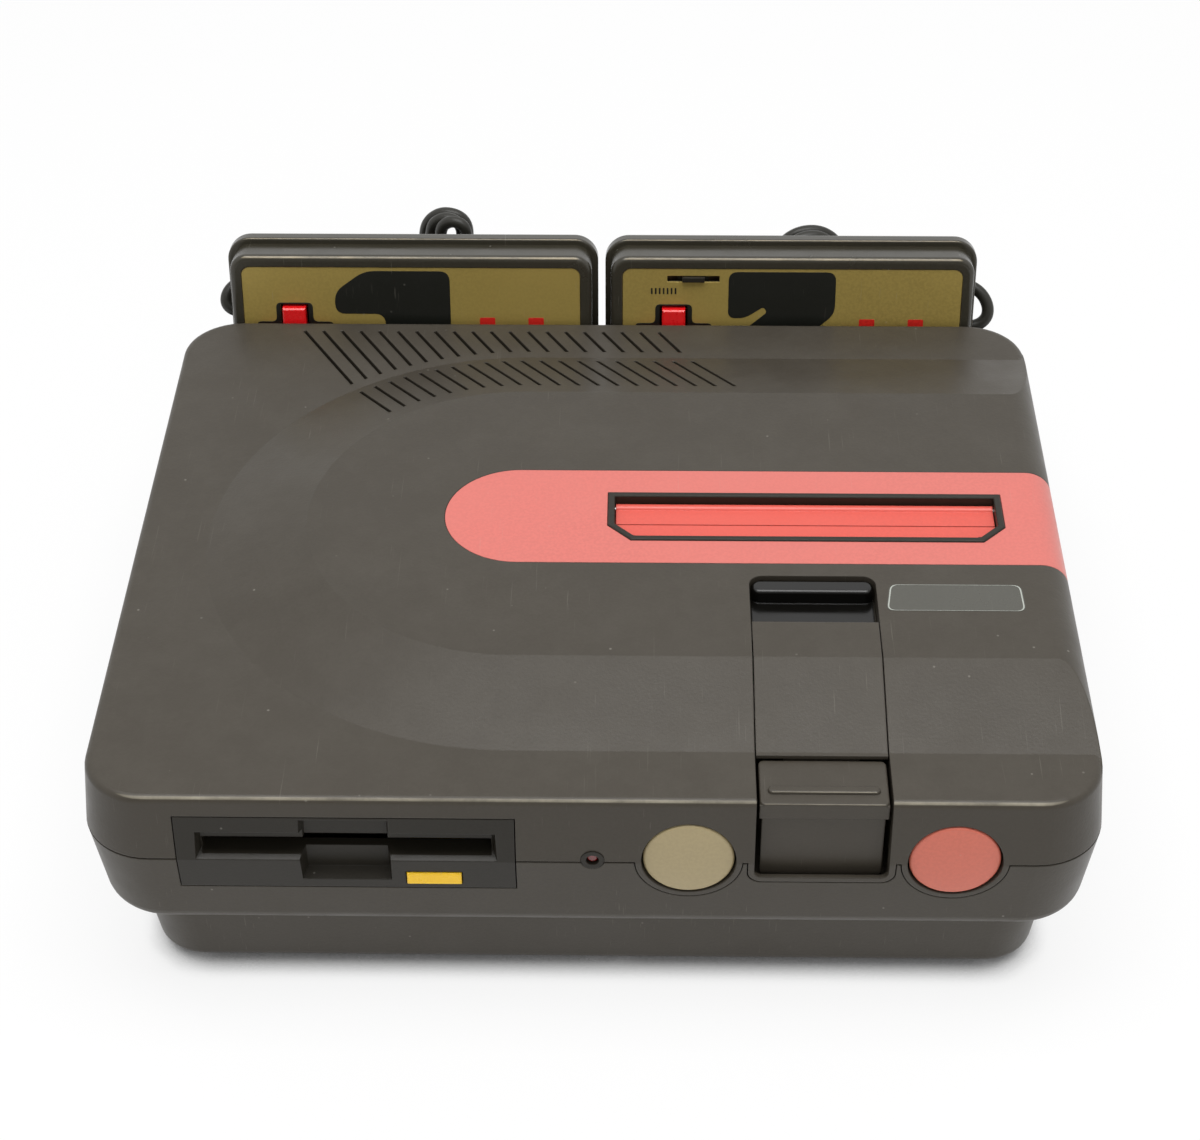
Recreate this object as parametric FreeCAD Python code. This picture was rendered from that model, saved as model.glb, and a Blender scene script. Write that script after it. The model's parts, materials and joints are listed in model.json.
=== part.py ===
import FreeCAD, Part
import math
import os

# Home game console with a disk card drive in front, a cartridge slot on top
# and two wired pads that stand in a cradle at the back.
# Millimetres, +Z up, X to the right as seen from the front, +Y to the back.
# The origin lies on the table under the middle of the console.

# Overall sizes of the case
width = 282.0
depth = 263.0
foot_height = 3.5
base_height = 26.5
belt_height = 27.3
upper_height = 21.3
plateau_rise = 8.0
corner_radius = 20.0
wall = 2.5
gap = 0.3

# How the walls lean and round
upper_inset = 2.2
belt_inset = 2.8
belt_round = 5.0
base_inset_top = 10.8
base_inset_bottom = 13.6
base_corner = 15.0
base_round = 3.0
rim_round = 2.2
plateau_edge_round = 9.0
rear_shelf = 32.0
deck_depth = depth - rear_shelf
seam = 0.45
pad_lean = 10.0

# The raised racetrack and the coloured band on the deck
band_depth = depth / 2 - 15.8
band_half_width = 22.2
band_centre_x = -23.6
band_thickness = 1.2
band_drop = 9.0
plateau_outer_radius = band_depth - 21.7
plateau_inner_radius = plateau_outer_radius - 30.6

# Vent slits in the deck
slit_count = 20
slit_pitch = 6.24
slit_width = 1.1
slit_angle = 31.4
slit_first_x = -100.1
slit_start_depth = deck_depth - 6.2
slit_rear_radius = plateau_outer_radius + 3.4
slit_slope_outer = plateau_outer_radius - 2.8
slit_slope_inner = plateau_inner_radius + 5.8

# Cartridge slot
slot_length = 118.3
slot_right = width / 2 - 19.7
slot_left = slot_right - slot_length
slot_front_depth = band_depth - 11.8
slot_rear_depth = band_depth + 11.2
slot_chamfer = 7.0
slot_border = 2.1
slot_well_depth = 14.0
slot_proud = 0.4
flap_line_depth = band_depth - 1.1
flap_line_gap = 0.4
flap_thickness = 1.5
flap_drop = 2.6
flap_barrel_radius = 1.6
flap_swing_room = 0.3
flap_pin_radius = 0.75
flap_pin_end = 0.6
flap_lug_radius = 1.5
flap_spring_length = 9.2
flap_spring_radius = 1.1

# Channel of the eject lever and the selector
channel_width = 36.7
channel_left = 0.445 * width / 2 - channel_width / 2
channel_right = channel_left + channel_width
channel_end_depth = band_depth - 27.9
channel_corner = 4.0
channel_rim = 1.7
recess_bottom_z = 51.6
cover_front_depth = 20.5
cover_rear_depth = channel_end_depth - 20.5
cover_thickness = 1.2
cover_slack = 0.25
cover_tab_length = 11.5
cover_tab_reach = 2.4
cover_rail = 1.3
recess_lip = 2.0
recess_drop = 3.4
recess_inner_depth = 4.2
lever_drop = cover_thickness + cover_slack
lever_front_depth = 3.1
lever_rear_depth = cover_front_depth - cover_slack
lever_plate = 2.4
lever_lip_height = 5.4
lever_panel_inset = 1.2
lever_panel_thickness = 2.0
lever_panel_gap = 0.8
lever_side_gap = 0.9
lever_ridge_height = 0.9
lever_ridge_depth = 8.3
lever_ridge_width = 2.8
lever_ridge_end = 2.3
lever_travel = 10.5
lever_well_depth = lever_rear_depth + lever_travel + 2.5
cover_tab_start = lever_well_depth + 0.7
cover_tab_end = cover_tab_start + cover_tab_length
selector_floor = 5.2
selector_plate = 1.6
selector_knob_height = 4.4
selector_knob_depth = 5.6
selector_front_depth = channel_end_depth - 29.3

# Buttons and lamp on the front
button_radius = 12.5
button_z = 58.0
button_slack = 0.5
button_length = 12.0
button_dome = 0.8
collar_width = 1.6
reset_x = 0.188 * width / 2
power_x = 0.7015 * width / 2
power_travel = 3.0
reset_travel = 2.5
stem_radius = 4.0
stem_length = 24.0
lamp_x = 0.3
lamp_z = 58.2
lamp_ring_radius = 3.2
lamp_lens_radius = 1.3
lamp_ring_length = 7.0

# Disk drive
bezel_left = -113.1
bezel_right = -20.8
bezel_bottom_z = 46.2
bezel_top_z = 72.1
bezel_thickness = 8.0
mouth_left = -108.0
mouth_right = -25.6
mouth_bottom_z = 57.6
mouth_top_z = 67.4
mouth_depth = 3.6
mouth_bevel = 1.5
disk_slot_width = 79.0
disk_slot_height = 4.6
disk_slot_z = 60.6
thumb_left = -79.5
thumb_right = -54.6
thumb_depth = 5.2
disk_button_left = -50.6
disk_button_width = 15.0
disk_button_z = 48.4
disk_button_height = 4.2
disk_button_length = 18.0
chassis_depth = 140.0
chassis_sheet = 1.4
flywheel_radius = 26.0
flywheel_thickness = 4.0
flywheel_depth = 72.0
spindle_radius = 3.0
pulley_radius = 4.0
belt_thickness = 0.8
motor_radius = 11.0
motor_height = 18.0
motor_x = -36.0
motor_depth = 122.0
guide_radius = 1.5

guide_start_depth = 98.0
sled_start_depth = 101.0
sled_length = 16.0

# Boards, connector and screws inside
board_z = 14.0
board_thickness = 1.6
board_front_depth = 34.0
board_rear_depth = depth - 67.0
board_side_gap = 10.0
board_post_inset = 10.0
board_post_radius = 3.2
chip_height = 4.5
can_radius = 4.0
can_height = 11.0
chassis_post_radius = 3.0
chassis_post_inset = 5.0
boss_radius = 4.2
boss_front_depth = 24.0
boss_rear_depth = depth - 59.0
boss_wall_gap = 2.5
boss_off_lamp = 5.0
rear_boss_x = 60.0
screw_radius = 1.5
screw_head_radius = 3.0
screw_head_height = 1.9
screw_head_drop = 2.0
screw_length = 22.0
screw_slot_reach = 2.2
screw_slot_width = 0.8
foot_radius = 7.5
foot_inset = 38.0
foot_seat = 1.0
connector_inset = 9.0
connector_width = 12.0
connector_drop = 34.0
connector_height = 14.0
connector_slot_width = 2.4
connector_leg = 7.0

# Cradle and sockets at the back
lip_z = 54.0
cradle_wall = 2.0
pad_pocket_front = 3.2
pad_pocket_gap = 0.5
bay_left = -33.0
bay_right = 46.0
bay_bottom_z = 34.0
bay_top_z = 49.0
bay_depth = 9.0
bay_wall = 1.8
socket_radius = 4.1
socket_spacing = 20.0
socket_length = 7.5
expansion_left = 25.0 - width / 2
expansion_width = 42.0
expansion_flange = 3.0
pin_pitch = 2.54
expansion_height = 9.0

# Pads
pad_width = 125.5
pad_height = 53.8
pad_thickness = 17.0
pad_flange = 2.0
pad_split = 11.0
pad_corner = 8.0
pad_wall = 2.0
pad_edge_round = 1.8
pad_front_depth = deck_depth - 2.0
pad_bottom_z = 48.5
pads_apart = 2.4
pads_middle_x = -0.85
left_pad_x = pads_middle_x - (pad_width + pads_apart) / 2
right_pad_x = pads_middle_x + (pad_width + pads_apart) / 2
pad_screw_side = 12.0
pad_screw_edge = 8.0
pad_screw_radius = 0.8
pad_post_radius = 2.6
key_travel = 1.3
pad_board_front = 7.7 + key_travel
pad_board_thickness = 1.2
pad_board_inset = 4.0
plate_margin = 3.9
plate_thickness = 0.6
plate_corner = 3.0
dpad_x = -39.6
dpad_w = 21.9
dpad_span = 23.6
dpad_arm = 7.8
dpad_proud = 2.2
dpad_pivot_v = 4.3
dpad_pivot_radius = 2.6
dpad_pivot_length = 6.0
key_radius = 5.6
key_w = 19.5
key_proud = 1.6
b_key_x = 25.6
a_key_x = 41.7
pill_length = 9.0
pill_width = 3.6
pill_w = 15.5
select_x = -6.0
start_x = 8.0
mic_slot_x = -33.1
mic_slot_w = 44.2
mic_slot_width = 2.2
mic_knob_length = 7.4
mic_travel = 4.4
mic_slot_length = mic_knob_length + 2 * mic_travel + 1.3

# Pad cords
cord_radius = 2.1
cord_pitch = 5.8
grommet_radius = 4.0
left_exit_w = 25.5
right_exit_w = 20.8
cord_exit_v = 14.2
cord_join_z = 47.0
grommet_z = 43.0
tail_rise = 9.0
tail_seat = 1.0
tie_height = 8.0
tie_thickness = 0.9
hank_standoff = cord_radius + tie_thickness + 2 * gap

# Levels and places worked out from the sizes above
V = FreeCAD.Vector
half_width = width / 2
front = -depth / 2
floor_z = foot_height
belt_z = floor_z + base_height
parting_z = belt_z + belt_height
rim_z = parting_z + upper_height
plateau_z = rim_z + plateau_rise
lean = math.radians(pad_lean)
deck_foot = deck_depth - upper_height * math.tan(lean)
reach = 2 * (width + depth)


def at(distance):
    """Y of a place given by its distance behind the front of the case."""
    return front + distance


def box(x0, x1, y0, y1, z0, z1):
    return Part.makeBox(x1 - x0, y1 - y0, z1 - z0, V(x0, y0, z0))


def rod(x, y, z, radius, length, direction):
    return Part.makeCylinder(radius, length, V(x, y, z), direction)


def cut_all(shape, tools):
    return shape.cut(Part.makeCompound(tools)) if tools else shape


def fuse_all(shapes):
    joined = shapes[0].fuse(shapes[1:]) if len(shapes) > 1 else shapes[0]
    return joined.removeSplitter()


def ring(x0, x1, y0, y1, radius, z):
    """Closed outline of a rectangle with round corners, flat at height z."""
    r = radius
    k = r * (1 - math.sqrt(0.5))
    corners = [
        (V(x1 - r, y0, z), V(x1 - k, y0 + k, z), V(x1, y0 + r, z)),
        (V(x1, y1 - r, z), V(x1 - k, y1 - k, z), V(x1 - r, y1, z)),
        (V(x0 + r, y1, z), V(x0 + k, y1 - k, z), V(x0, y1 - r, z)),
        (V(x0, y0 + r, z), V(x0 + k, y0 + k, z), V(x0 + r, y0, z)),
    ]
    edges = []
    for i, (start, middle, end) in enumerate(corners):
        edges.append(Part.Arc(start, middle, end).toShape())
        edges.append(Part.makeLine(end, corners[(i + 1) % 4][0]))
    return Part.Wire(edges)


def between(lower, upper):
    """Solid with straight sides between two outlines."""
    return Part.makeLoft([lower, upper], True, True)


def prism(outline, height):
    return Part.Face(outline).extrude(V(0, 0, height))


def hang(outline, height):
    return Part.Face(outline).extrude(V(0, 0, -height))


def rounded_block(x0, x1, y0, y1, z0, z1, radius):
    return prism(ring(x0, x1, y0, y1, radius, z0), z1 - z0)


def level_edges(shape, z, inside=None):
    """Edges that lie flat at height z, and within a box where one is given."""
    found = []
    for edge in shape.Edges:
        bounds = edge.BoundBox
        if abs(bounds.ZMin - z) < 1e-4 and abs(bounds.ZMax - z) < 1e-4:
            if inside is None or inside.isInside(bounds.Center):
                found.append(edge)
    return found


def polygon_prism(points, direction):
    face = Part.Face(Part.makePolygon(points + points[:1]))
    return face.extrude(direction)


# Outlines of the case at any height

def upper_ring(z, inset=0.0):
    share = (z - parting_z) / upper_height
    side = half_width - upper_inset * share - inset
    rear = at(deck_foot + (deck_depth - deck_foot) * share) - inset
    radius = corner_radius - upper_inset * share - inset
    return ring(-side, side, front + upper_inset * share + inset, rear, radius, z)


def belt_ring(z, inset=0.0):
    share = (parting_z - z) / belt_height
    side = half_width - belt_inset * share - inset
    radius = corner_radius - inset
    return ring(-side, side, front + belt_inset * share + inset, at(depth) - inset, radius, z)


def base_ring(z, inset=0.0):
    share = (belt_z - z) / base_height
    step = base_inset_top + (base_inset_bottom - base_inset_top) * share + inset
    side = half_width - step
    return ring(-side, side, front + step, at(depth) - step, base_corner - inset, z)


def racetrack(radius, z, right=None):
    """Outline round the band: a half circle at the left, open runs to the right."""
    right = width if right is None else right
    y = at(band_depth)
    top = V(band_centre_x, y + radius, z)
    low = V(band_centre_x, y - radius, z)
    arc = Part.Arc(top, V(band_centre_x - radius, y, z), low).toShape()
    far = [low, V(right, y - radius, z), V(right, y + radius, z), top]
    return Part.Wire([arc] + [Part.makeLine(far[i], far[i + 1]) for i in range(3)])


def right_side_limit(lowering=0.0):
    """Everything left of the right wall, with the wide round of the plateau's edge."""
    slope = upper_inset / upper_height
    tilt = math.atan(slope)
    top = plateau_z - lowering
    r = max(plateau_edge_round - lowering, 1.0)
    centre_z = top - r
    wall_x = half_width - lowering - slope * (centre_z - parting_z)
    centre_x = wall_x - r / math.cos(tilt)
    low_z = parting_z - wall

    def spot(angle):
        return V(centre_x + r * math.cos(angle), -reach, centre_z + r * math.sin(angle))

    start = V(half_width - lowering - slope * (low_z - parting_z), -reach, low_z)
    arc = Part.Arc(spot(tilt), spot((tilt + math.pi / 2) / 2), spot(math.pi / 2)).toShape()
    left_top = V(-width, -reach, top)
    left_low = V(-width, -reach, low_z)
    edges = [
        Part.makeLine(start, spot(tilt)),
        arc,
        Part.makeLine(spot(math.pi / 2), left_top),
        Part.makeLine(left_top, left_low),
        Part.makeLine(left_low, start),
    ]
    return Part.Face(Part.Wire(edges)).extrude(V(0, 2 * reach, 0))


def plateau_form(lowering=0.0):
    """The racetrack hill, sunk by the given amount to line its inside."""
    spread = (plateau_outer_radius - plateau_inner_radius) / plateau_rise
    skirt = min(4.0, upper_height / 2)
    low_z = rim_z - skirt
    outer = racetrack(plateau_outer_radius + spread * skirt, low_z - lowering)
    inner = racetrack(plateau_inner_radius, plateau_z - lowering)
    walls = between(upper_ring(parting_z - wall, lowering), upper_ring(plateau_z + wall, lowering))
    return between(outer, inner).common(walls).common(right_side_limit(lowering))


def upper_outer():
    block = between(upper_ring(parting_z), upper_ring(rim_z))
    block = block.makeFillet(rim_round, level_edges(block, rim_z))
    return block.fuse(plateau_form()).removeSplitter()


def upper_inner():
    low = parting_z - wall
    block = between(upper_ring(low, wall), upper_ring(rim_z - wall, wall))
    return block.fuse(plateau_form(wall))


def belt_outer():
    belt = between(belt_ring(belt_z), belt_ring(parting_z))
    return belt.makeFillet(belt_round, level_edges(belt, belt_z))


def base_outer():
    base = between(base_ring(floor_z), base_ring(belt_z + belt_round))
    return base.makeFillet(base_round, level_edges(base, floor_z))


def lower_inner():
    belt = between(belt_ring(belt_z + wall, wall), belt_ring(parting_z + wall, wall))
    base = between(base_ring(floor_z + wall, wall), base_ring(belt_z + belt_round, wall))
    return belt.fuse(base)


def deck_layer(outer, thickness):
    """The top skin of the case, this thick, for parts that lie flush in the deck."""
    lowered = outer.copy()
    lowered.translate(V(0, 0, -thickness))
    return outer.cut(lowered)


# Openings shared by the case and what fits them

def bezel_block(slack, back):
    return box(bezel_left - slack, bezel_right + slack, front - reach, at(back),
               bezel_bottom_z - slack, bezel_top_z + slack)


def collar(x, radius, length):
    return rod(x, front - 1, button_z, radius, length + 1, V(0, 1, 0))


def channel_block(slack, low_z, high_z):
    return rounded_block(channel_left - slack, channel_right + slack, front - reach / 4,
                         at(channel_end_depth) + slack, low_z, high_z, channel_corner)


def well_block(slack, back):
    """Outside of the moulded well round the eject lever."""
    rim = channel_rim + slack
    return rounded_block_y(channel_left - rim, channel_right + rim, recess_bottom_z - rim,
                           rim_z + wall, front - 1, at(back), channel_corner)


def deep_well_block(slack):
    """Lower part of that well, behind the wall of the lower case."""
    rim = channel_rim + slack
    low_z = recess_bottom_z - recess_drop - rim
    return rounded_block_y(channel_left - rim, channel_right + rim, low_z, rim_z + wall,
                           at(recess_inner_depth) - slack, at(lever_well_depth) + slack, channel_corner)


def rounded_block_y(x0, x1, z0, z1, y0, y1, radius):
    """Block along Y whose outline in X and Z has round corners."""
    block = rounded_block(x0, x1, z0, z1, -y1, -y0, radius)
    block.rotate(V(0, 0, 0), V(1, 0, 0), 90)
    return block


def corner_cut(slack):
    """Length of the slot's cut corners along each side, on an outline grown by the slack."""
    return slot_chamfer + slack * (2 - math.sqrt(2))


def slot_outline(slack, z):
    """Outline of the cartridge frame, with its two front corners cut off."""
    c = corner_cut(slack)
    x0, x1 = slot_left - slack, slot_right + slack
    y0, y1 = at(slot_front_depth) - slack, at(slot_rear_depth) + slack
    points = [V(x0 + c, y0, z), V(x1 - c, y0, z), V(x1, y0 + c, z),
              V(x1, y1, z), V(x0, y1, z), V(x0, y0 + c, z)]
    return Part.makePolygon(points + points[:1])


def slot_opening(inset, low_z, high_z):
    """Inside of the frame: cut corners at the flaps' level, square corners below it."""
    outline = slot_outline(-slot_border - inset, 0)
    top = prism(outline, high_z - low_z)
    top.translate(V(0, 0, low_z))
    return top


def slot_square(low_z, high_z):
    b = slot_border
    return box(slot_left + b, slot_right - b, at(slot_front_depth) + b,
               at(slot_rear_depth) - b, low_z, high_z)


def boss_places():
    side = half_width - base_inset_bottom - wall - boss_radius - boss_wall_gap
    near, far = at(boss_front_depth), at(boss_rear_depth)
    return [(-side, near), (lamp_x + boss_off_lamp, near), (side, near),
            (-side, far), (rear_boss_x, far), (side, far)]


def foot_places():
    side = half_width - base_inset_bottom - 3 * foot_radius
    return [(x, y) for x in (-side, side) for y in (at(foot_inset), at(depth - foot_inset))]


def seam_groove():
    """Thin step round the foot of the upper case, seen as the parting line."""
    low_z = parting_z - seam
    return prism(upper_ring(low_z, -seam), 2 * seam).cut(prism(upper_ring(low_z, seam), 2 * seam))


def upper_case(outer):
    shell = outer.cut(upper_inner()).cut(seam_groove())
    skin = deck_layer(outer, wall + band_thickness)
    band_bed = skin.common(prism(racetrack(band_half_width + 1.5, rim_z - 30), 60))
    band_bed = band_bed.cut(box(-reach, reach, -reach, reach, 0, rim_z - band_drop - 1.5))
    shell = shell.fuse(band_bed)
    wells = [
        well_block(0, lever_well_depth),
        deep_well_block(0),
        selector_well(),
        collar(reset_x, button_radius + button_slack + collar_width, 9.0),
        collar(power_x, button_radius + button_slack + collar_width, 9.0),
    ]
    bosses = [rod(x, y, belt_z + gap, boss_radius, rim_z - wall / 2 - belt_z - gap, V(0, 0, 1))
              for x, y in boss_places()]
    hull = outer.fuse(belt_outer())
    shell = shell.fuse([w.common(hull) for w in wells] + bosses)
    screw_holes = [rod(x, y, belt_z, screw_radius - 0.1, screw_length, V(0, 0, 1))
                   for x, y in boss_places()]
    cuts = screw_holes + vents() + [
        band_skin(outer, band_thickness + gap / 3, gap / 2),
        prism(slot_outline(gap / 2, plateau_z - slot_well_depth - wall), 2 * slot_well_depth),
        bezel_block(gap, bezel_thickness + wall),
        lever_space(),
        selector_space(),
        cover_space(),
        rod(lamp_x, front - 1, lamp_z, lamp_ring_radius + gap / 3, lamp_ring_length, V(0, 1, 0)),
    ]
    for x in (reset_x, power_x):
        cuts.append(rod(x, front - 1, button_z, button_radius + button_slack, 40.0, V(0, 1, 0)))
    return cut_all(shell, cuts).removeSplitter()


def selector_well():
    rim = channel_rim
    floor = plateau_z - selector_floor - selector_plate - gap - rim
    return box(channel_left - rim, channel_right + rim, at(cover_tab_end + 1),
               at(channel_end_depth) + rim, floor, plateau_z - 1)


def lever_space():
    """Room of the lever: a front rim in the recess, a lower floor behind it, and the arm's slot."""
    back = at(lever_rear_depth + lever_travel) + 1.0
    top, corner = rim_z + 20, channel_corner - channel_rim
    mouth = rounded_block_y(channel_left, channel_right, recess_bottom_z, top, front - 5, back, corner)
    deep = rounded_block_y(channel_left, channel_right, recess_bottom_z - recess_drop, top,
                           at(recess_lip), back, corner)
    arm = box(channel_left, channel_right, front, at(cover_tab_end),
              rim_z - wall - cover_thickness - 6.0, top)
    return mouth.fuse([deep, arm])


def selector_space():
    low_z = plateau_z - selector_floor - selector_plate - gap
    block = channel_block(0, low_z, plateau_z + 5)
    return block.common(box(-reach, reach, at(cover_tab_end - 1), reach, 0, reach))


def cover_space():
    return channel_block(0, rim_z - wall - cover_thickness, plateau_z + 5).common(
        box(-reach, reach, front - 5, at(cover_rear_depth) + gap, 0, reach))


def vents():
    """Slits in two rows that follow the same slanted lines."""
    angle = math.radians(slit_angle)
    along = V(math.sin(angle), -math.cos(angle), 0)
    across = V(math.cos(angle), math.sin(angle), 0) * (slit_width / 2)
    low_z, high = rim_z - 3 * wall, V(0, 0, plateau_rise + 6 * wall)
    bars = []
    for i in range(slit_count):
        start = V(slit_first_x + i * slit_pitch, at(slit_start_depth), low_z)
        end = start + along * 80.0
        corners = [start - across, start + across, end + across, end - across]
        bars.append(polygon_prism(corners, high))
    rear_zone = box(-reach, reach, -reach, reach, 0, reach).cut(
        prism(racetrack(slit_rear_radius, low_z), plateau_z))
    slope_zone = prism(racetrack(slit_slope_outer, low_z), plateau_z).cut(
        prism(racetrack(slit_slope_inner, low_z), plateau_z))
    slits = []
    for bar in bars:
        slits.append(bar.common(rear_zone))
        slits.append(bar.common(slope_zone))
    return slits


def lower_case():
    hull = belt_outer().fuse(base_outer().common(box(-reach, reach, -reach, reach, 0, belt_z + 4)))
    shell = hull.cut(lower_inner())
    posts = [rod(x, y, floor_z + wall / 2, boss_radius, belt_z - floor_z - wall / 2, V(0, 0, 1))
             for x, y in boss_places()]
    posts += [rod(x, y, floor_z + wall / 2, board_post_radius, board_z - floor_z - wall / 2, V(0, 0, 1))
              for x, y in board_post_places()]
    chassis_rise = chassis_low() - floor_z - wall / 2
    posts += [rod(x, y, floor_z + wall / 2, chassis_post_radius, chassis_rise, V(0, 0, 1))
              for x, y in chassis_post_places()]
    posts.append(bay_body())
    shell = shell.fuse(posts)
    rear_zone = box(-reach, reach, at(deck_foot / 2), reach, lip_z, parting_z + 5)
    footprint = prism(upper_ring(parting_z), 20)
    footprint.translate(V(0, 0, -10))
    cuts = [rear_zone.cut(footprint), bay_space(), bezel_block(gap, bezel_thickness + wall),
            well_block(gap, lever_well_depth + gap), deep_well_block(gap),
            rod(lamp_x, front - 1, lamp_z, lamp_ring_radius + gap / 3, lamp_ring_length, V(0, 1, 0))]
    for x in (reset_x, power_x):
        cuts.append(collar(x, button_radius + button_slack + collar_width + gap, 12.0))
    for x, y in boss_places():
        cuts.append(rod(x, y, 0, screw_radius + 0.2, belt_z + 1, V(0, 0, 1)))
        head_seat = floor_z + screw_head_drop + screw_head_height
        cuts.append(rod(x, y, 0, screw_head_radius + gap, head_seat + 0.1, V(0, 0, 1)))
    for x, y in foot_places():
        cuts.append(rod(x, y, 0, foot_radius + 0.1, floor_z + foot_seat, V(0, 0, 1)))
    for x, y in cord_places():
        cuts.append(rod(x, at(depth) + 1, y, grommet_radius - 0.8, 20.0, V(0, -1, 0)))
    cuts += socket_holes()
    return cut_all(shell, cuts).removeSplitter()


def chassis_low():
    return bezel_bottom_z - 6.0


def board_bounds():
    """Sides of the main board: X from and to, Y from and to."""
    return (bezel_left + 9.0, half_width - base_inset_bottom - board_side_gap,
            at(board_front_depth), at(board_rear_depth))


def board_post_places():
    x0, x1, y0, y1 = board_bounds()
    inset = board_post_inset
    return [(x, y) for x in (x0 + inset, x1 - inset) for y in (y0 + inset, y1 - inset)]


def chassis_post_places():
    near, far = at(boss_front_depth), at(bezel_thickness + chassis_depth - 3 * chassis_post_inset)
    return [(x, y) for x in (bezel_left + chassis_post_inset, bezel_right - chassis_post_inset)
            for y in (near, far)]


def bay_body():
    w = bay_wall
    return box(bay_left - w, bay_right + w, at(depth - bay_depth) - w, at(depth) - 0.5,
               bay_bottom_z - w, bay_top_z + w)


def bay_space():
    return box(bay_left, bay_right, at(depth - bay_depth), at(depth) + 1, bay_bottom_z, bay_top_z)


def rubber_feet():
    return [rod(x, y, 0, foot_radius, floor_z + foot_seat, V(0, 0, 1)) for x, y in foot_places()]


def case_screws():
    screws = []
    long, half = screw_slot_reach, screw_slot_width / 2
    for x, y in boss_places():
        low_z = floor_z + screw_head_drop
        tip_z = belt_z + screw_length - 2 * screw_head_radius
        head = rod(x, y, low_z, screw_head_radius, screw_head_height, V(0, 0, 1))
        shank = rod(x, y, low_z + 1, screw_radius - 0.2, tip_z - low_z, V(0, 0, 1))
        slot = box(x - long, x + long, y - half, y + half, low_z - 1, low_z + 1)
        across = box(x - half, x + half, y - long, y + long, low_z - 1, low_z + 1)
        screws.append(head.fuse(shank).cut(slot.fuse(across)).removeSplitter())
    return screws


# The coloured band, its slot frame and flaps

def band_skin(outer, thickness, slack):
    layer = deck_layer(outer, thickness)
    side = outer.copy()
    side.translate(V(-thickness, 0, 0))
    layer = layer.fuse(outer.cut(side))
    layer = layer.common(prism(racetrack(band_half_width + slack, rim_z - 30), 60))
    return layer.common(box(-reach, reach, -reach, reach, rim_z - band_drop - slack, reach))


def cartridge_panel(outer):
    band = band_skin(outer, band_thickness, 0)
    return band.cut(prism(slot_outline(gap / 2, rim_z), 40)).removeSplitter()


def flap_z():
    return plateau_z - flap_drop - flap_thickness / 2


def flap_axes():
    inner = slot_border + flap_barrel_radius + gap
    return at(slot_rear_depth) - inner, at(slot_front_depth) + inner


def slot_frame():
    low_z = plateau_z - slot_well_depth
    body = prism(slot_outline(0, low_z), slot_well_depth + slot_proud)
    lugs = pin_lugs().common(body)
    body = body.cut(slot_opening(0, low_z - 1, plateau_z + 2))
    body = body.cut(slot_square(low_z - 1, flap_z() - flap_thickness / 2 - flap_swing_room))
    body = body.makeChamfer(0.35, level_edges(body, plateau_z + slot_proud))
    body = body.fuse(lugs)
    return cut_all(body, [hinge_pin(y, 0.1, 0.05) for y in flap_axes()]).removeSplitter()


def pin_span(y):
    """X from and to of the hinge pin at this Y, with its ends inside the frame's walls."""
    beyond = max(0.0, slot_chamfer - (y - at(slot_front_depth) - 2 * flap_pin_radius))
    return slot_left + beyond + flap_pin_end, slot_right - beyond - flap_pin_end


def hinge_pin(y, longer, thicker):
    x0, x1 = pin_span(y)
    return rod(x0 - longer, y, flap_z(), flap_pin_radius + thicker, x1 - x0 + 2 * longer, V(1, 0, 0))


def pin_lugs():
    """Lugs on the front wall that carry the front pin, where the frame's corners are cut off."""
    y = flap_axes()[1]
    r = flap_lug_radius
    pin_left, pin_right = pin_span(y)
    barrel_left, barrel_right = barrel_span(True)
    lugs = []
    for x0, x1 in ((pin_left - 1, barrel_left - gap), (barrel_right + gap, pin_right + 1)):
        lugs.append(rod(x0, y, flap_z(), r, x1 - x0, V(1, 0, 0)))
        lugs.append(box(x0, x1, at(slot_front_depth) + 1, y, flap_z() - r, flap_z() + r))
    return fuse_all(lugs)


def flap_pins():
    return [hinge_pin(y, 0, 0) for y in flap_axes()]


def barrel_span(corners_cut):
    """X from and to of a flap's barrel, which stays clear of cut corners."""
    inset = slot_border + gap + (corner_cut(-slot_border - gap) if corners_cut else 0)
    return slot_left + inset, slot_right - inset


def flap(axis_y, free_y, corners_cut):
    """One leaf with a barrel on its hinge pin, open below where the spring sits."""
    x0, x1 = slot_left + slot_border + gap, slot_right - slot_border - gap
    t = flap_thickness / 2
    z = flap_z()
    leaf = box(x0, x1, min(axis_y, free_y), max(axis_y, free_y), z - t, z + t)
    leaf = leaf.common(slot_opening(gap, z - 1, z + 1))
    b0, b1 = barrel_span(corners_cut)
    clear = flap_lug_radius + gap
    lug_room = box(x0 - 1, x1 + 1, axis_y - clear, axis_y + clear, z - 1, z + 1)
    leaf = leaf.cut(lug_room.cut(box(b0, b1, axis_y - 4, axis_y + 4, z - 1, z + 1)))
    body = leaf.fuse(rod(b0, axis_y, z, flap_barrel_radius, b1 - b0, V(1, 0, 0))).removeSplitter()
    middle, half = (x0 + x1) / 2, flap_spring_length / 2 + 2 * gap
    bore = rod(x0 - 1, axis_y, z, flap_pin_radius + 0.15, x1 - x0 + 2, V(1, 0, 0))
    pocket = rod(middle - half, axis_y, z, flap_spring_radius + 0.15, 2 * half, V(1, 0, 0))
    below = box(middle - half, middle + half, axis_y - flap_barrel_radius, axis_y + flap_barrel_radius,
                z - 2 * flap_barrel_radius, z - t)
    return cut_all(body, [bore, pocket, below]).removeSplitter()


def flap_rear():
    return flap(flap_axes()[0], at(flap_line_depth) + flap_line_gap / 2, False)


def flap_front():
    return flap(flap_axes()[1], at(flap_line_depth) - flap_line_gap / 2, True)


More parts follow.
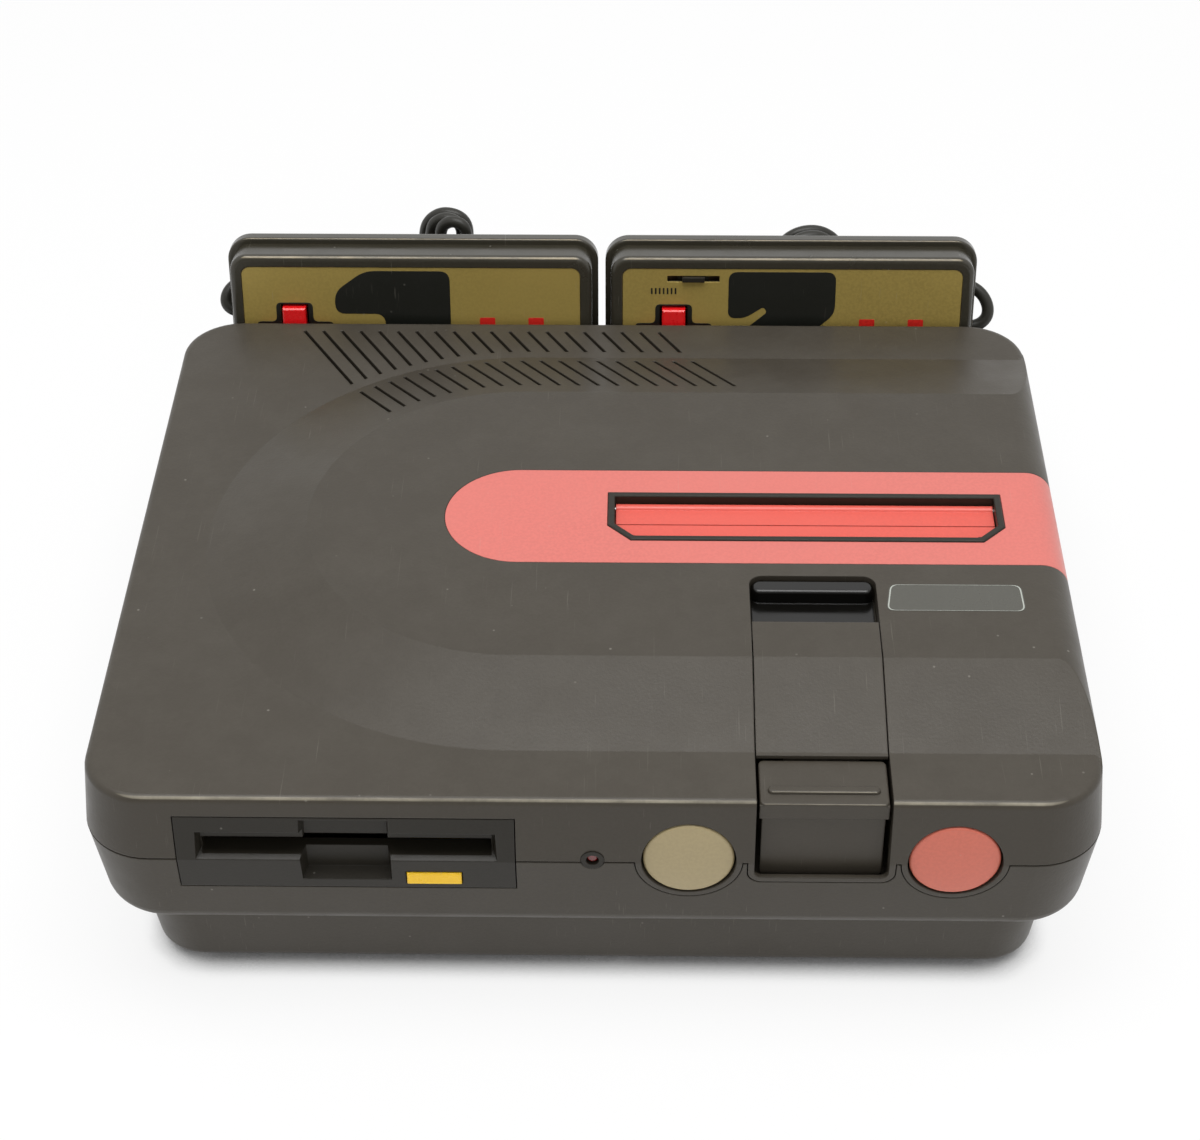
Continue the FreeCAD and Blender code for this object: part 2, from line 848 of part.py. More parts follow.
def flap_springs():
    """A short wound spring round the middle of each hinge pin, drawn as its sleeve."""
    start = (slot_left + slot_right - flap_spring_length) / 2
    springs = []
    for y in flap_axes():
        outside = rod(start, y, flap_z(), flap_spring_radius, flap_spring_length, V(1, 0, 0))
        bore = rod(start - 1, y, flap_z(), flap_pin_radius, flap_spring_length + 2, V(1, 0, 0))
        springs.append(outside.cut(bore))
    return springs


# Cover plate, eject lever and selector

def cover_plate(outer):
    """Flush lid with two side rails whose tabs hook under the deck."""
    slack = gap + 0.05
    skin = deck_layer(outer, cover_thickness)
    x0, x1 = channel_left + slack, channel_right - slack
    leaf = skin.common(box(x0, x1, at(cover_front_depth), at(cover_rear_depth), rim_z - 10, plateau_z + 5))
    y0, y1 = at(cover_tab_start), at(cover_tab_end)
    slab = deck_layer(outer, wall + cover_thickness)
    under = slab.cut(deck_layer(outer, wall))
    r, t = cover_rail, cover_tab_reach
    rails = slab.common(box(x0, x0 + r, y0, y1, 0, reach).fuse(box(x1 - r, x1, y0, y1, 0, reach)))
    tabs = under.common(box(x0 - t, x0 + r, y0, y1, 0, reach).fuse(box(x1 - r, x1 + t, y0, y1, 0, reach)))
    tabs.translate(V(0, 0, -0.02))
    return fuse_all([leaf, rails, tabs])


def eject_lever():
    top = rim_z - lever_drop
    x0, x1 = channel_left + lever_side_gap, channel_right - lever_side_gap
    y0, y1 = at(lever_front_depth), at(lever_rear_depth)
    plate = rounded_block(x0, x1, y0, y1, top - lever_plate, top, 1.6)
    plate = plate.makeFillet(0.5, level_edges(plate, top))
    lip = box(x0, x1, y0, y0 + lever_plate, top - lever_lip_height, top - 0.6)
    panel_y = y0 + lever_panel_inset
    panel_low = recess_bottom_z - recess_drop + lever_panel_gap
    panel = rounded_block_y(x0 + lever_panel_gap, x1 - lever_panel_gap, panel_low, top - 1.0,
                            panel_y, panel_y + lever_panel_thickness, 1.5)
    middle, half = at(lever_ridge_depth), lever_ridge_width / 2
    ridge = rounded_block(x0 + lever_ridge_end, x1 - lever_ridge_end, middle - half, middle + half,
                          top - 0.4, top + lever_ridge_height, half - 0.1)
    ridge = ridge.makeFillet(0.7, level_edges(ridge, top + lever_ridge_height))
    arm_y = at(cover_tab_end - lever_travel) - 2
    arm = box(x0 + 7, x1 - 7, y1 - 3, arm_y, top - lever_plate, top - 0.8)
    return fuse_all([plate, lip, panel, ridge, arm])


def selector_slider():
    floor = plateau_z - selector_floor
    x0, x1 = channel_left + 0.7, channel_right - 0.7
    y0, y1 = at(selector_front_depth), at(channel_end_depth) - 0.7
    tongue = rounded_block(x0, x1, y0, y1, floor - selector_plate, floor, 3.0)
    knob = rounded_block(x0, x1, y1 - selector_knob_depth, y1, floor - 0.5,
                         floor + selector_knob_height, 2.6)
    knob = knob.makeFillet(1.2, level_edges(knob, floor + selector_knob_height))
    return fuse_all([tongue, knob])


# Buttons and lamp

def round_button(x, dome_gap):
    """Hollow cap with a low dome and a stem behind it."""
    face_y = front + dome_gap
    r = button_radius
    profile = Part.Wire([
        Part.Arc(V(0, 0, 0), V(r * 0.55, button_dome * 0.26, 0), V(r - 0.8, button_dome, 0)).toShape(),
        Part.Arc(V(r - 0.8, button_dome, 0), V(r - 0.23, button_dome + 0.24, 0),
                 V(r, button_dome + 0.8, 0)).toShape(),
        Part.makeLine(V(r, button_dome + 0.8, 0), V(r, button_length, 0)),
        Part.makeLine(V(r, button_length, 0), V(r - 2, button_length, 0)),
        Part.makeLine(V(r - 2, button_length, 0), V(r - 2, 4.0, 0)),
        Part.makeLine(V(r - 2, 4.0, 0), V(stem_radius, 4.0, 0)),
        Part.makeLine(V(stem_radius, 4.0, 0), V(stem_radius, stem_length, 0)),
        Part.makeLine(V(stem_radius, stem_length, 0), V(0, stem_length, 0)),
        Part.makeLine(V(0, stem_length, 0), V(0, 0, 0)),
    ])
    cap = Part.Face(profile).revolve(V(0, 0, 0), V(0, 1, 0), 360)
    cap = Part.Solid(cap.Shells[0]) if not cap.Solids else cap.Solids[0]
    cap.translate(V(x, face_y, button_z))
    return cap


def switch_front():
    return front + 0.3 + stem_length + gap


def button_switches():
    """Push switches behind the two round buttons, each with its plunger hole and legs."""
    switches = []
    for x, travel in ((reset_x, reset_travel), (power_x, power_travel)):
        y0 = switch_front() + travel
        body = box(x - 7, x + 7, y0, y0 + 16, button_z - 7, button_z + 7)
        sleeve = rod(x, y0 - travel - 2, button_z, stem_radius + 1.6, travel + 3, V(0, 1, 0))
        hollow = rod(x, y0 - travel - 3, button_z, stem_radius + gap, travel + 2.9, V(0, 1, 0))
        bracket = box(x - 7, x + 7, y0 + 10, y0 + 12, board_z + board_thickness, button_z - 6)
        switches.append(fuse_all([body, sleeve, bracket]).cut(hollow))
    return switches


def lamp_ring():
    y0 = front + 0.15
    outside = rod(lamp_x, y0, lamp_z, lamp_ring_radius, lamp_ring_length - 1.5, V(0, 1, 0))
    bore = rod(lamp_x, y0 - 1, lamp_z, lamp_lens_radius + 0.5, lamp_ring_length + 2, V(0, 1, 0))
    return outside.cut(bore)


def lamp_lens():
    y0 = front + 1.0
    body = rod(lamp_x, y0, lamp_z, lamp_lens_radius + 0.4, lamp_ring_length + 8.0, V(0, 1, 0))
    return body.makeFillet(0.8, [e for e in body.Edges if abs(e.BoundBox.YMax - y0) < 1e-4])


# Disk drive

def drive_bezel(hull):
    face = bezel_block(0, bezel_thickness).common(hull)
    mouth = taper_y(mouth_left, mouth_right, mouth_bottom_z, mouth_top_z, mouth_depth, mouth_bevel)
    slot_x = (mouth_left + mouth_right) / 2
    slot = box(slot_x - disk_slot_width / 2, slot_x + disk_slot_width / 2, front - 1,
               at(bezel_thickness) + 1, disk_slot_z - disk_slot_height / 2,
               disk_slot_z + disk_slot_height / 2)
    thumb = taper_y(thumb_left, thumb_right, bezel_bottom_z + 3.0, bezel_top_z - 0.4,
                    thumb_depth, 1.2)
    window = box(disk_button_left - gap, disk_button_left + disk_button_width + gap, front - 1,
                 at(bezel_thickness) + 1, disk_button_z - gap, disk_button_z + disk_button_height + gap)
    return cut_all(face, [mouth, slot, thumb, window]).removeSplitter()


def taper_y(x0, x1, z0, z1, deep, bevel):
    """Pocket from the front whose sides close in by the bevel towards its floor."""
    def outline(y, inset):
        points = [V(x0 + inset, y, z0 + inset), V(x1 - inset, y, z0 + inset),
                  V(x1 - inset, y, z1 - inset), V(x0 + inset, y, z1 - inset)]
        return Part.makePolygon(points + points[:1])
    return Part.makeLoft([outline(front - 1.0, -bevel / deep), outline(at(deep), bevel)], True, True)


def disk_eject_button():
    x0 = disk_button_left
    head = box(x0, x0 + disk_button_width, front + 0.05, at(disk_button_length),
               disk_button_z, disk_button_z + disk_button_height)
    front_edges = [e for e in head.Edges if e.BoundBox.YMax < front + 0.1]
    return head.makeFillet(0.4, front_edges)


def drive_chassis():
    """Folded sheet tray with a front stop, a motor bridge and the head's guide rod."""
    s = chassis_sheet
    x0, x1 = bezel_left + 1.5, bezel_right - 1.5
    y0, y1 = at(bezel_thickness + wall + 0.5), at(bezel_thickness + chassis_depth)
    z0, z1 = chassis_low(), bezel_top_z
    tray = box(x0, x1, y0, y1, z0, z1).cut(box(x0 + s, x1 - s, y0 - 1, y1 - s, z0 + s, z1 + 1))
    bearing = rod(flywheel_x(), at(flywheel_depth), z0, spindle_radius + 3, s + 0.5, V(0, 0, 1))
    bridge = box(motor_x - motor_radius - 2, x1, at(motor_depth) - motor_radius - 3,
                 at(motor_depth) + motor_radius + 3, z1 - s, z1)
    rod_x, rod_z = guide_place()
    start = at(guide_start_depth)
    guide = rod(rod_x, start, rod_z, guide_radius, y1 - start, V(0, 1, 0))
    guide_post = box(rod_x - 3, rod_x + 3, start - 2, start + s / 4, z0, rod_z + 3)
    return fuse_all([tray, bearing, bridge, guide, guide_post])


def guide_place():
    return bezel_left + 26.0, chassis_low() + 14.0


def flywheel_x():
    return (mouth_left + mouth_right) / 2


def flywheel_z():
    return chassis_low() + chassis_sheet + 1.0


def drive_flywheel():
    x, y, z = flywheel_x(), at(flywheel_depth), flywheel_z()
    disc = rod(x, y, z, flywheel_radius, flywheel_thickness, V(0, 0, 1))
    groove = rod(x, y, z + 1.0, flywheel_radius + 1, flywheel_thickness - 2.0, V(0, 0, 1))
    groove = groove.cut(rod(x, y, z, flywheel_radius - 0.8, flywheel_thickness, V(0, 0, 1)))
    spindle = rod(x, y, z - gap, spindle_radius, disk_slot_z - z - 1.5, V(0, 0, 1))
    hub = rod(x, y, disk_slot_z - 5.5, spindle_radius + 5, 2.0, V(0, 0, 1))
    return fuse_all([disc.cut(groove), spindle, hub])


def motor_pulley():
    z = flywheel_z()
    low = rod(motor_x, at(motor_depth), z, pulley_radius + 1, 1.0, V(0, 0, 1))
    core = rod(motor_x, at(motor_depth), z, pulley_radius, flywheel_thickness, V(0, 0, 1))
    high = rod(motor_x, at(motor_depth), z + flywheel_thickness - 1, pulley_radius + 1, 1.0, V(0, 0, 1))
    shaft = rod(motor_x, at(motor_depth), z, 1.0, motor_low() - z + 3.0, V(0, 0, 1))
    return fuse_all([low, core, high, shaft])


def motor_low():
    return bezel_top_z - chassis_sheet - motor_height


def drive_motor():
    x, y = motor_x, at(motor_depth)
    can = rod(x, y, motor_low(), motor_radius, motor_height, V(0, 0, 1))
    can = can.makeFillet(1.5, level_edges(can, motor_low()))
    bush = rod(x, y, motor_low() - 1.5, 3.0, 2.0, V(0, 0, 1))
    return can.fuse(bush).cut(rod(x, y, motor_low() - 3, 1.3, 7.0, V(0, 0, 1)))


def drive_belt():
    """Flat belt round the flywheel's groove and the motor pulley."""
    slack = 0.3
    z0 = flywheel_z() + 1.25
    tall = flywheel_thickness - 2.5
    big = V(flywheel_x(), at(flywheel_depth), z0)
    small = V(motor_x, at(motor_depth), z0)

    def loop(extra):
        ra, rb = flywheel_radius - 0.8 + slack + extra, pulley_radius + slack + extra
        line = small - big
        base = math.atan2(line.y, line.x)
        swing = math.acos((ra - rb) / line.Length)
        up, down = base + swing, base - swing
        def spot(centre, r, angle):
            return V(centre.x + r * math.cos(angle), centre.y + r * math.sin(angle), z0)
        a1, a2 = spot(big, ra, up), spot(big, ra, down)
        b1, b2 = spot(small, rb, up), spot(small, rb, down)
        edges = [Part.Arc(a1, spot(big, ra, base + math.pi), a2).toShape(), Part.makeLine(a2, b2),
                 Part.Arc(b2, spot(small, rb, base), b1).toShape(), Part.makeLine(b1, a1)]
        return Part.Face(Part.Wire(edges))
    return loop(belt_thickness).cut(loop(0)).extrude(V(0, 0, tall))


def head_sled():
    x, z = guide_place()
    y0 = at(sled_start_depth)
    block = box(x - 8, x + 10, y0, y0 + sled_length, z - 4, z + 4).cut(
        rod(x, y0 - 1, z, guide_radius + 0.15, sled_length + 2, V(0, 1, 0)))
    head = box(x + 4, x + 9, y0 + 4, y0 + 9, z + 3.5, z + 7)
    return block.fuse(head).removeSplitter()


# Boards and connectors

def main_board():
    """Board with its chips and cans, placed by their shares of its length and width."""
    x0, x1, y0, y1 = board_bounds()
    top = board_z + board_thickness
    board = box(x0, x1, y0, y1, board_z, top)

    def across(share):
        return x0 + (x1 - x0) * share

    def back(share):
        return y0 + (y1 - y0) * share

    chips = [(0.60, 0.72, 0.04, 0.16), (0.74, 0.82, 0.16, 0.65), (0.20, 0.32, 0.72, 0.84),
             (0.34, 0.45, 0.16, 0.27), (0.07, 0.15, 0.35, 0.53)]
    parts = [box(across(a), across(b), back(c), back(d), top, top + chip_height) for a, b, c, d in chips]
    cans = [rod(across(a), back(b), top, can_radius, can_height, V(0, 0, 1))
            for a, b in ((0.90, 0.85), (0.84, 0.85), (0.42, 0.90))]
    holes = [rod(x, y, 0, chassis_post_radius + 4 * gap, chassis_low(), V(0, 0, 1))
             for x, y in chassis_post_places()]
    return cut_all(fuse_all([board] + parts + cans), holes)


def cartridge_connector():
    """Card edge socket under the slot, on two legs that stand on the board."""
    x0, x1 = slot_left + connector_inset, slot_right - connector_inset
    y = at((slot_front_depth + slot_rear_depth) / 2)
    half, slit, leg = connector_width / 2, connector_slot_width / 2, connector_leg
    top = plateau_z - connector_drop
    low = top - connector_height
    body = box(x0, x1, y - half, y + half, low, top)
    socket = box(x0 + leg + 1, x1 - leg - 1, y - slit, y + slit, low + 4, top + 1)
    legs = [box(x, x + leg, y - half, y + half, board_z + board_thickness, low + 1) for x in (x0, x1 - leg)]
    return fuse_all([body] + legs).cut(socket)


def socket_z():
    return (bay_bottom_z + bay_top_z) / 2


def bay_floor():
    return at(depth - bay_depth)


def socket_xs():
    first = (bay_left + bay_right - 3 * socket_spacing) / 2
    return [first + i * socket_spacing for i in range(4)]


def socket_holes():
    holes = [rod(x, bay_floor() + 1, socket_z(), socket_radius - 0.9, 6, V(0, -1, 0)) for x in socket_xs()]
    half = expansion_height / 2 + gap
    holes.append(box(expansion_left - gap, expansion_left + expansion_width + gap, at(depth - wall) - 1,
                     at(depth) + 1, socket_z() - half, socket_z() + half))
    return holes


def coax_socket(x):
    """Round phono socket: nut, threaded shell, inner sleeve and a body behind the wall."""
    y = bay_floor()
    z = socket_z()
    shell = rod(x, y, z, socket_radius, socket_length, V(0, 1, 0))
    nut = rod(x, y, z, socket_radius + 1.3, 1.6, V(0, 1, 0))
    bore = rod(x, y + 0.8, z, socket_radius - 0.7, socket_length, V(0, 1, 0))
    core = rod(x, y, z, 2.2, socket_length - 0.8, V(0, 1, 0))
    hole = rod(x, y + 2, z, 1.5, socket_length, V(0, 1, 0))
    tail = rod(x, y + 0.1, z, socket_radius - 1.1, bay_wall + 2, V(0, -1, 0))
    body = socket_body(x, 9.0)
    return fuse_all([shell.fuse(nut).cut(bore), core, tail, body]).cut(hole)


def socket_body(x, deep):
    y, z = bay_floor() - bay_wall, socket_z()
    return box(x - 5, x + 5, y - deep, y, z - 7.0, z + 0.8)


def av_jacks():
    return [coax_socket(x) for x in socket_xs()[1:3]]


def rf_jack():
    return coax_socket(socket_xs()[3])


def dc_jack():
    x, y, z = socket_xs()[0], bay_floor(), socket_z()
    ring_part = rod(x, y, z, socket_radius + 1.0, 3.0, V(0, 1, 0))
    tail = rod(x, y + 0.1, z, socket_radius - 1.1, bay_wall + 2, V(0, -1, 0))
    body = socket_body(x, 10.0)
    bore = rod(x, y + 4, z, 2.6, 9, V(0, -1, 0))
    pin = rod(x, y + 2, z, 0.9, 9, V(0, -1, 0))
    return fuse_all([fuse_all([ring_part, tail, body]).cut(bore), pin])


def expansion_connector():
    """Two-row plug set in its own window of the rear wall."""
    x0, x1 = expansion_left, expansion_left + expansion_width
    y, z = at(depth - wall), socket_z()
    h = expansion_height / 2
    shell = box(x0, x1, y - 0.5, at(depth) - 0.4, z - h, z + h)
    flange = box(x0 - expansion_flange, x1 + expansion_flange, y - 1.6, y, z - h - 1.6, z + h + 1.6)
    hollow = box(x0 + 1, x1 - 1, y - 1.0, at(depth) + 1, z - h + 1, z + h - 1)
    back = box(x0 + 1, x1 - 1, y - 7.0, y - 1.2, z - h + 1, z + h - 1)
    pins = []
    count = int((expansion_width - 6.0) / pin_pitch)
    for i in range(count):
        x = (x0 + x1) / 2 + (i - (count - 1) / 2) * pin_pitch
        for level in (-pin_pitch / 2, pin_pitch / 2):
            pins.append(rod(x, y - 1.4, z + level, 0.4, 3.0, V(0, 1, 0)))
    return fuse_all([fuse_all([shell, flange, back]).cut(hollow)] + pins)


# Cradle for the pads at the back

def pad_frame(shape, centre_x):
    """Moves a shape from a pad's own frame to where the pad stands."""
    shape.rotate(V(0, 0, 0), V(1, 0, 0), -pad_lean)
    shape.translate(V(centre_x, at(pad_front_depth), pad_bottom_z))
    return shape


def pocket(grow, top):
    """Space that one pad takes in the cradle, in the pad's own frame."""
    half = pad_width / 2 + pad_pocket_gap + grow
    return box(-half, half, -pad_pocket_front - grow, pad_thickness + pad_pocket_gap + grow,
               -pad_pocket_gap / 2 - grow, top)


def rear_cradle():
    slack = gap
    outline = prism(belt_ring(lip_z, wall + slack), belt_height)
    outline.translate(V(0, 0, -belt_height))
    back_zone = box(-reach, reach, at(deck_foot) - corner_radius - 2, reach, 0, lip_z)
    ledge = outline.common(back_zone).common(box(-reach, reach, -reach, reach, lip_z - cradle_wall, lip_z))
    boxes = [pad_frame(pocket(cradle_wall, 40.0), x).common(outline).common(back_zone)
             for x in (left_pad_x, right_pad_x)]
    tall = parting_z - lip_z + cradle_wall
    curb = hang(upper_ring(parting_z, slack), tall).cut(hang(upper_ring(parting_z, wall), tall))
    curb.translate(V(0, 0, -slack / 3))
    room = prism(belt_ring(lip_z - cradle_wall, wall + slack), tall)
    curb = curb.common(room).common(box(-reach, reach, at(deck_foot) - corner_radius - 2, reach, 0, reach))
    shape = fuse_all([ledge, curb] + boxes)
    cuts = [pad_frame(pocket(0, 60.0), x) for x in (left_pad_x, right_pad_x)]
    cuts += [rod(x, y, belt_z, boss_radius + gap, parting_z - belt_z, V(0, 0, 1)) for x, y in boss_places()]
    return cut_all(shape, cuts).removeSplitter()


def console_grommets():
    """Rubber bushes where the two pad cords leave the rear wall."""
    bushes = []
    for x, z in cord_places():
        flange = rod(x, at(depth), z, grommet_radius, wall + 1.5, V(0, -1, 0))
        neck = rod(x, at(depth), z, grommet_radius - 0.9, wall + 2, V(0, -1, 0))
        head = flange.common(box(-reach, reach, at(depth - wall) - 1.4, at(depth - wall), 0, reach))
        bush = neck.fuse(head)
        bushes.append(bush.cut(rod(x, at(depth) + 1, z, cord_radius + 0.1, 3.5, V(0, -1, 0))))
    return bushes


# Pads

def pad_slab(inset, v0, v1, radius):
    half = pad_width / 2 - inset
    return rounded_block_y(-half, half, inset, pad_height - inset, v0, v1, radius)


def pad_plate_box():
    inset = pad_flange + plate_margin
    return inset, pad_width / 2 - inset


def cross(span, arm, v0, v1):
    x, w = dpad_x, dpad_w
    h, a = span / 2, arm / 2
    return box(x - h, x + h, v0, v1, w - a, w + a).fuse(box(x - a, x + a, v0, v1, w - h, w + h))


def pill(x, extra, v0, v1):
    half = pill_length / 2 + extra
    r = pill_width / 2 + extra
    return rounded_block_y(x - half, x + half, pill_w - r, pill_w + r, v0, v1, r - 0.01)


def key(x, radius, v0, v1):
    return Part.makeCylinder(radius, v1 - v0, V(x, v0, key_w), V(0, 1, 0))


def pad_openings(first, grow):
    """Holes of the keys through plate and shell."""
    v0, v1 = -1.0, pad_wall + 2.5
    holes = [cross(dpad_span + 2 * grow + 1.2, dpad_arm + 2 * grow + 1.2, v0, v1)]
    holes += [key(x, key_radius + grow + 0.15, v0, v1) for x in (b_key_x, a_key_x)]
    if first:
        holes += [pill(x, grow, v0, v1) for x in (select_x, start_x)]
    else:
        half = mic_slot_length / 2
        holes.append(box(mic_slot_x - half, mic_slot_x + half, v0, v1,
                         mic_slot_w - mic_slot_width / 2, mic_slot_w + mic_slot_width / 2))
    return holes


def pad_exit(side):
    """Where the cord leaves the side of a pad, in the pad's frame."""
    return side * (pad_width / 2 - pad_flange - 3.0)


def exit_w(side):
    """Height of that place in the pad's frame."""
    return right_exit_w if side > 0 else left_exit_w


def exit_notch(side):
    x, w = pad_exit(side), exit_w(side)
    return rounded_block_y(min(x, side * pad_width), max(x, side * pad_width),
                           w - 5.0, w + 15.0, pad_split + 0.5, pad_thickness + 5, 2.0)


def pad_front_shell(first):
    body = pad_slab(pad_flange, 0, pad_split, pad_corner - pad_flange)
    rim = [e for e in body.Edges if e.BoundBox.YMax < 1e-4]
    body = body.makeFillet(pad_edge_round, rim)
    inset, half = pad_plate_box()
    hollow = pad_slab(pad_flange + pad_wall, pad_wall, pad_split + 1, pad_corner - pad_flange - pad_wall)
    tray = rounded_block_y(-half, half, inset, pad_height - inset, -1.0, plate_thickness + 0.15,
                           plate_corner)
    body = cut_all(body, [hollow, tray] + pad_openings(first, 0.4))
    posts = [pad_rod(x, w, pad_wall / 2, pad_thickness - pad_wall - 0.1, pad_post_radius)
             for x, w in pad_screw_places()]
    bores = [pad_rod(x, w, pad_board_front - 0.5, pad_thickness, pad_screw_radius + 0.15)
             for x, w in pad_screw_places()]
    return cut_all(body.fuse(posts), bores).removeSplitter()


def pad_rod(x, w, v0, v1, radius):
    """Cylinder through a pad's thickness, in the pad's own frame."""
    return Part.makeCylinder(radius, v1 - v0, V(x, v0, w), V(0, 1, 0))


def pad_back_shell(side):
    body = pad_slab(0, pad_split, pad_thickness, pad_corner)
    rim = [e for e in body.Edges if e.BoundBox.YMin > pad_thickness - 1e-4]
    body = body.makeFillet(2.2, rim)
    front_rim = [e for e in body.Edges if e.BoundBox.YMax < pad_split + 1e-4]
    body = body.makeFillet(0.8, front_rim)
    hollow = pad_slab(pad_flange + pad_wall, pad_split - 1, pad_thickness - pad_wall, pad_corner - 4.0)
    x, w = pad_exit(side), exit_w(side)
    boss = box(min(x, x - side * 6), max(x, x - side * 6), pad_split, pad_thickness - 1,
               w - 6.0, w + 16.0)
    board_back = pad_board_front + pad_board_thickness
    rests = [pad_rod(rest, pad_height / 2, board_back, pad_thickness - pad_wall / 2, pad_post_radius)
             for rest in (-pad_board_half() + 6, pad_board_half() - 6)]
    body = body.cut(hollow).fuse([boss] + rests)
    inward = V(-side, 0, 0)
    seat = Part.makeCylinder(cord_radius, 4.0, V(x + side, cord_exit_v, w), inward)
    heads = [pad_rod(sx, sw, pad_thickness - 1.2, pad_thickness + 1, 2.0) for sx, sw in pad_screw_places()]
    shanks = [pad_rod(sx, sw, pad_split, pad_thickness + 1, pad_screw_radius + 0.15)
              for sx, sw in pad_screw_places()]
    return cut_all(body, [exit_notch(side), seat] + heads + shanks).removeSplitter()


def pad_screw_places():
    x = pad_width / 2 - pad_screw_side
    low, high = pad_screw_edge, pad_height - pad_screw_edge
    return [(-x, low), (x, low), (-x, high), (x, high), (0.0, low), (0.0, high)]


def pad_screws():
    screws = []
    for x, w in pad_screw_places():
        head = pad_rod(x, w, pad_thickness - 1.2, pad_thickness - 0.2, 1.8)
        screws.append(head.fuse(pad_rod(x, w, pad_board_front, pad_thickness - 1, pad_screw_radius)))
    return screws


def pad_face_plate(first):
    inset, half = pad_plate_box()
    c = 0.1
    plate = rounded_block_y(-half + c, half - c, inset + c, pad_height - inset - c,
                            0.15, 0.15 + plate_thickness, plate_corner - c)
    return cut_all(plate, pad_openings(first, 0.2)).removeSplitter()


def pad_dpad():
    body = cross(dpad_span, dpad_arm, -dpad_proud, 3.0).removeSplitter()
    top = [e for e in body.Edges if e.BoundBox.YMax < -dpad_proud + 1e-4]
    body = body.makeChamfer(0.5, top)
    dish = Part.makeSphere(9.0, V(dpad_x, -dpad_proud - 8.5, dpad_w))
    half = dpad_pivot_length / 2
    end = V(dpad_x - half, dpad_pivot_v, dpad_w)
    pivot = Part.makeCylinder(dpad_pivot_radius, dpad_pivot_length, end, V(1, 0, 0))
    neck = box(dpad_x - half, dpad_x + half, 2.0, dpad_pivot_v,
               dpad_w - dpad_pivot_radius, dpad_w + dpad_pivot_radius)
    return body.cut(dish).fuse([pivot, neck]).removeSplitter()


def pad_key(x):
    body = key(x, key_radius, -key_proud, 6.0)
    top = [e for e in body.Edges if e.BoundBox.YMax < -key_proud + 1e-4]
    body = body.makeFillet(0.7, top)
    return body.cut(Part.makeSphere(22.0, V(x, -key_proud - 21.6, key_w)))


def pad_pill(x):
    body = pill(x, 0, -0.9, 6.0)
    top = [e for e in body.Edges if e.BoundBox.YMax < -0.9 + 1e-4]
    return body.makeFillet(0.5, top)


def mic_slider():
    half, w = mic_knob_length / 2, mic_slot_w
    thin = mic_slot_width / 2 - 0.25
    knob = box(mic_slot_x - half, mic_slot_x + half, -0.9, 4.2, w - thin, w + thin)
    foot = box(mic_slot_x - half - 1.5, mic_slot_x + half + 1.5, pad_wall + 0.3, pad_wall + 2.2,
               w - 2.6, w + 2.6)
    return knob.fuse(foot).removeSplitter()


def pad_board_half():
    return pad_width / 2 - pad_flange - pad_wall - pad_board_inset


def pad_board(first):
    """Board with rubber domes under the keys, and holes for the screw posts."""
    half, front_v = pad_board_half(), pad_board_front
    margin = pad_flange + pad_wall + pad_board_inset - 1
    board = box(-half, half, front_v, front_v + pad_board_thickness, margin, pad_height - margin)
    domes = [pad_rod(x, key_w, front_v - 1.3, front_v + 0.1, 4.6) for x in (b_key_x, a_key_x)]
    pivot_seat = dpad_pivot_v + dpad_pivot_radius
    domes.append(pad_rod(dpad_x, dpad_w, pivot_seat, front_v + 0.1, 4.0))
    if first:
        domes += [pad_rod(x, pill_w, front_v - 1.5, front_v + 0.1, 2.0) for x in (select_x, start_x)]
    else:
        domes.append(box(mic_slot_x - 9, mic_slot_x + 9, pad_wall + 2.6, front_v + 0.1,
                         mic_slot_w - 2.5, mic_slot_w + 2.5))
    holes = [pad_rod(x, w, 0, pad_thickness, pad_post_radius + gap) for x, w in pad_screw_places()]
    return cut_all(fuse_all([board] + domes), holes)


# Pad cords: short free runs and a tied hank behind each pad

# Runs go down on the lead's side and up on the other; the last one ends at the tail
left_hank = {
    "down_x": [-62.0, -60.6, -57.7, -61.6, -64.4],
    "up_x": [-49.4, -48.5, -50.5, -48.9, -42.4],
    "tops": [80.0, 89.3, 87.1, 85.7],
    "lows": [2.6, 3.7, 2.9, 4.3, 2.4],
    "rise_share": 0.38,
}
right_hank = {
    "down_x": [80.6, 79.4, 81.2, 80.8, 83.2],
    "up_x": [61.8, 60.4, 62.6, 60.1, 54.0],
    "tops": [72.0, 76.0, 80.3, 78.9],
    "lows": [2.4, 3.9, 2.8, 4.7, 3.1],
    "rise_share": 0.5,
}

# Each bow stands out this far; its points are shares of that, then how far back and up
left_bow = 7.5, [(0.0, 0.0, 0.0), (0.55, 0.0, 0.0), (0.97, 0.9, 1.8), (1.0, 2.9, 4.6),
                 (0.7, 5.4, 7.0), (0.1, 8.2, 8.0)]
right_bow = 10.7, [(0.0, 0.0, 0.0), (0.52, 0.0, 0.0), (0.95, 1.0, 2.6), (1.0, 3.4, 6.8),
                   (0.7, 6.4, 11.0), (0.1, 9.2, 12.6)]


def cord_places():
    """Where each cord leaves the rear wall: X and height."""
    return [(hank["up_x"][-1], grommet_z) for hank in (left_hank, right_hank)]


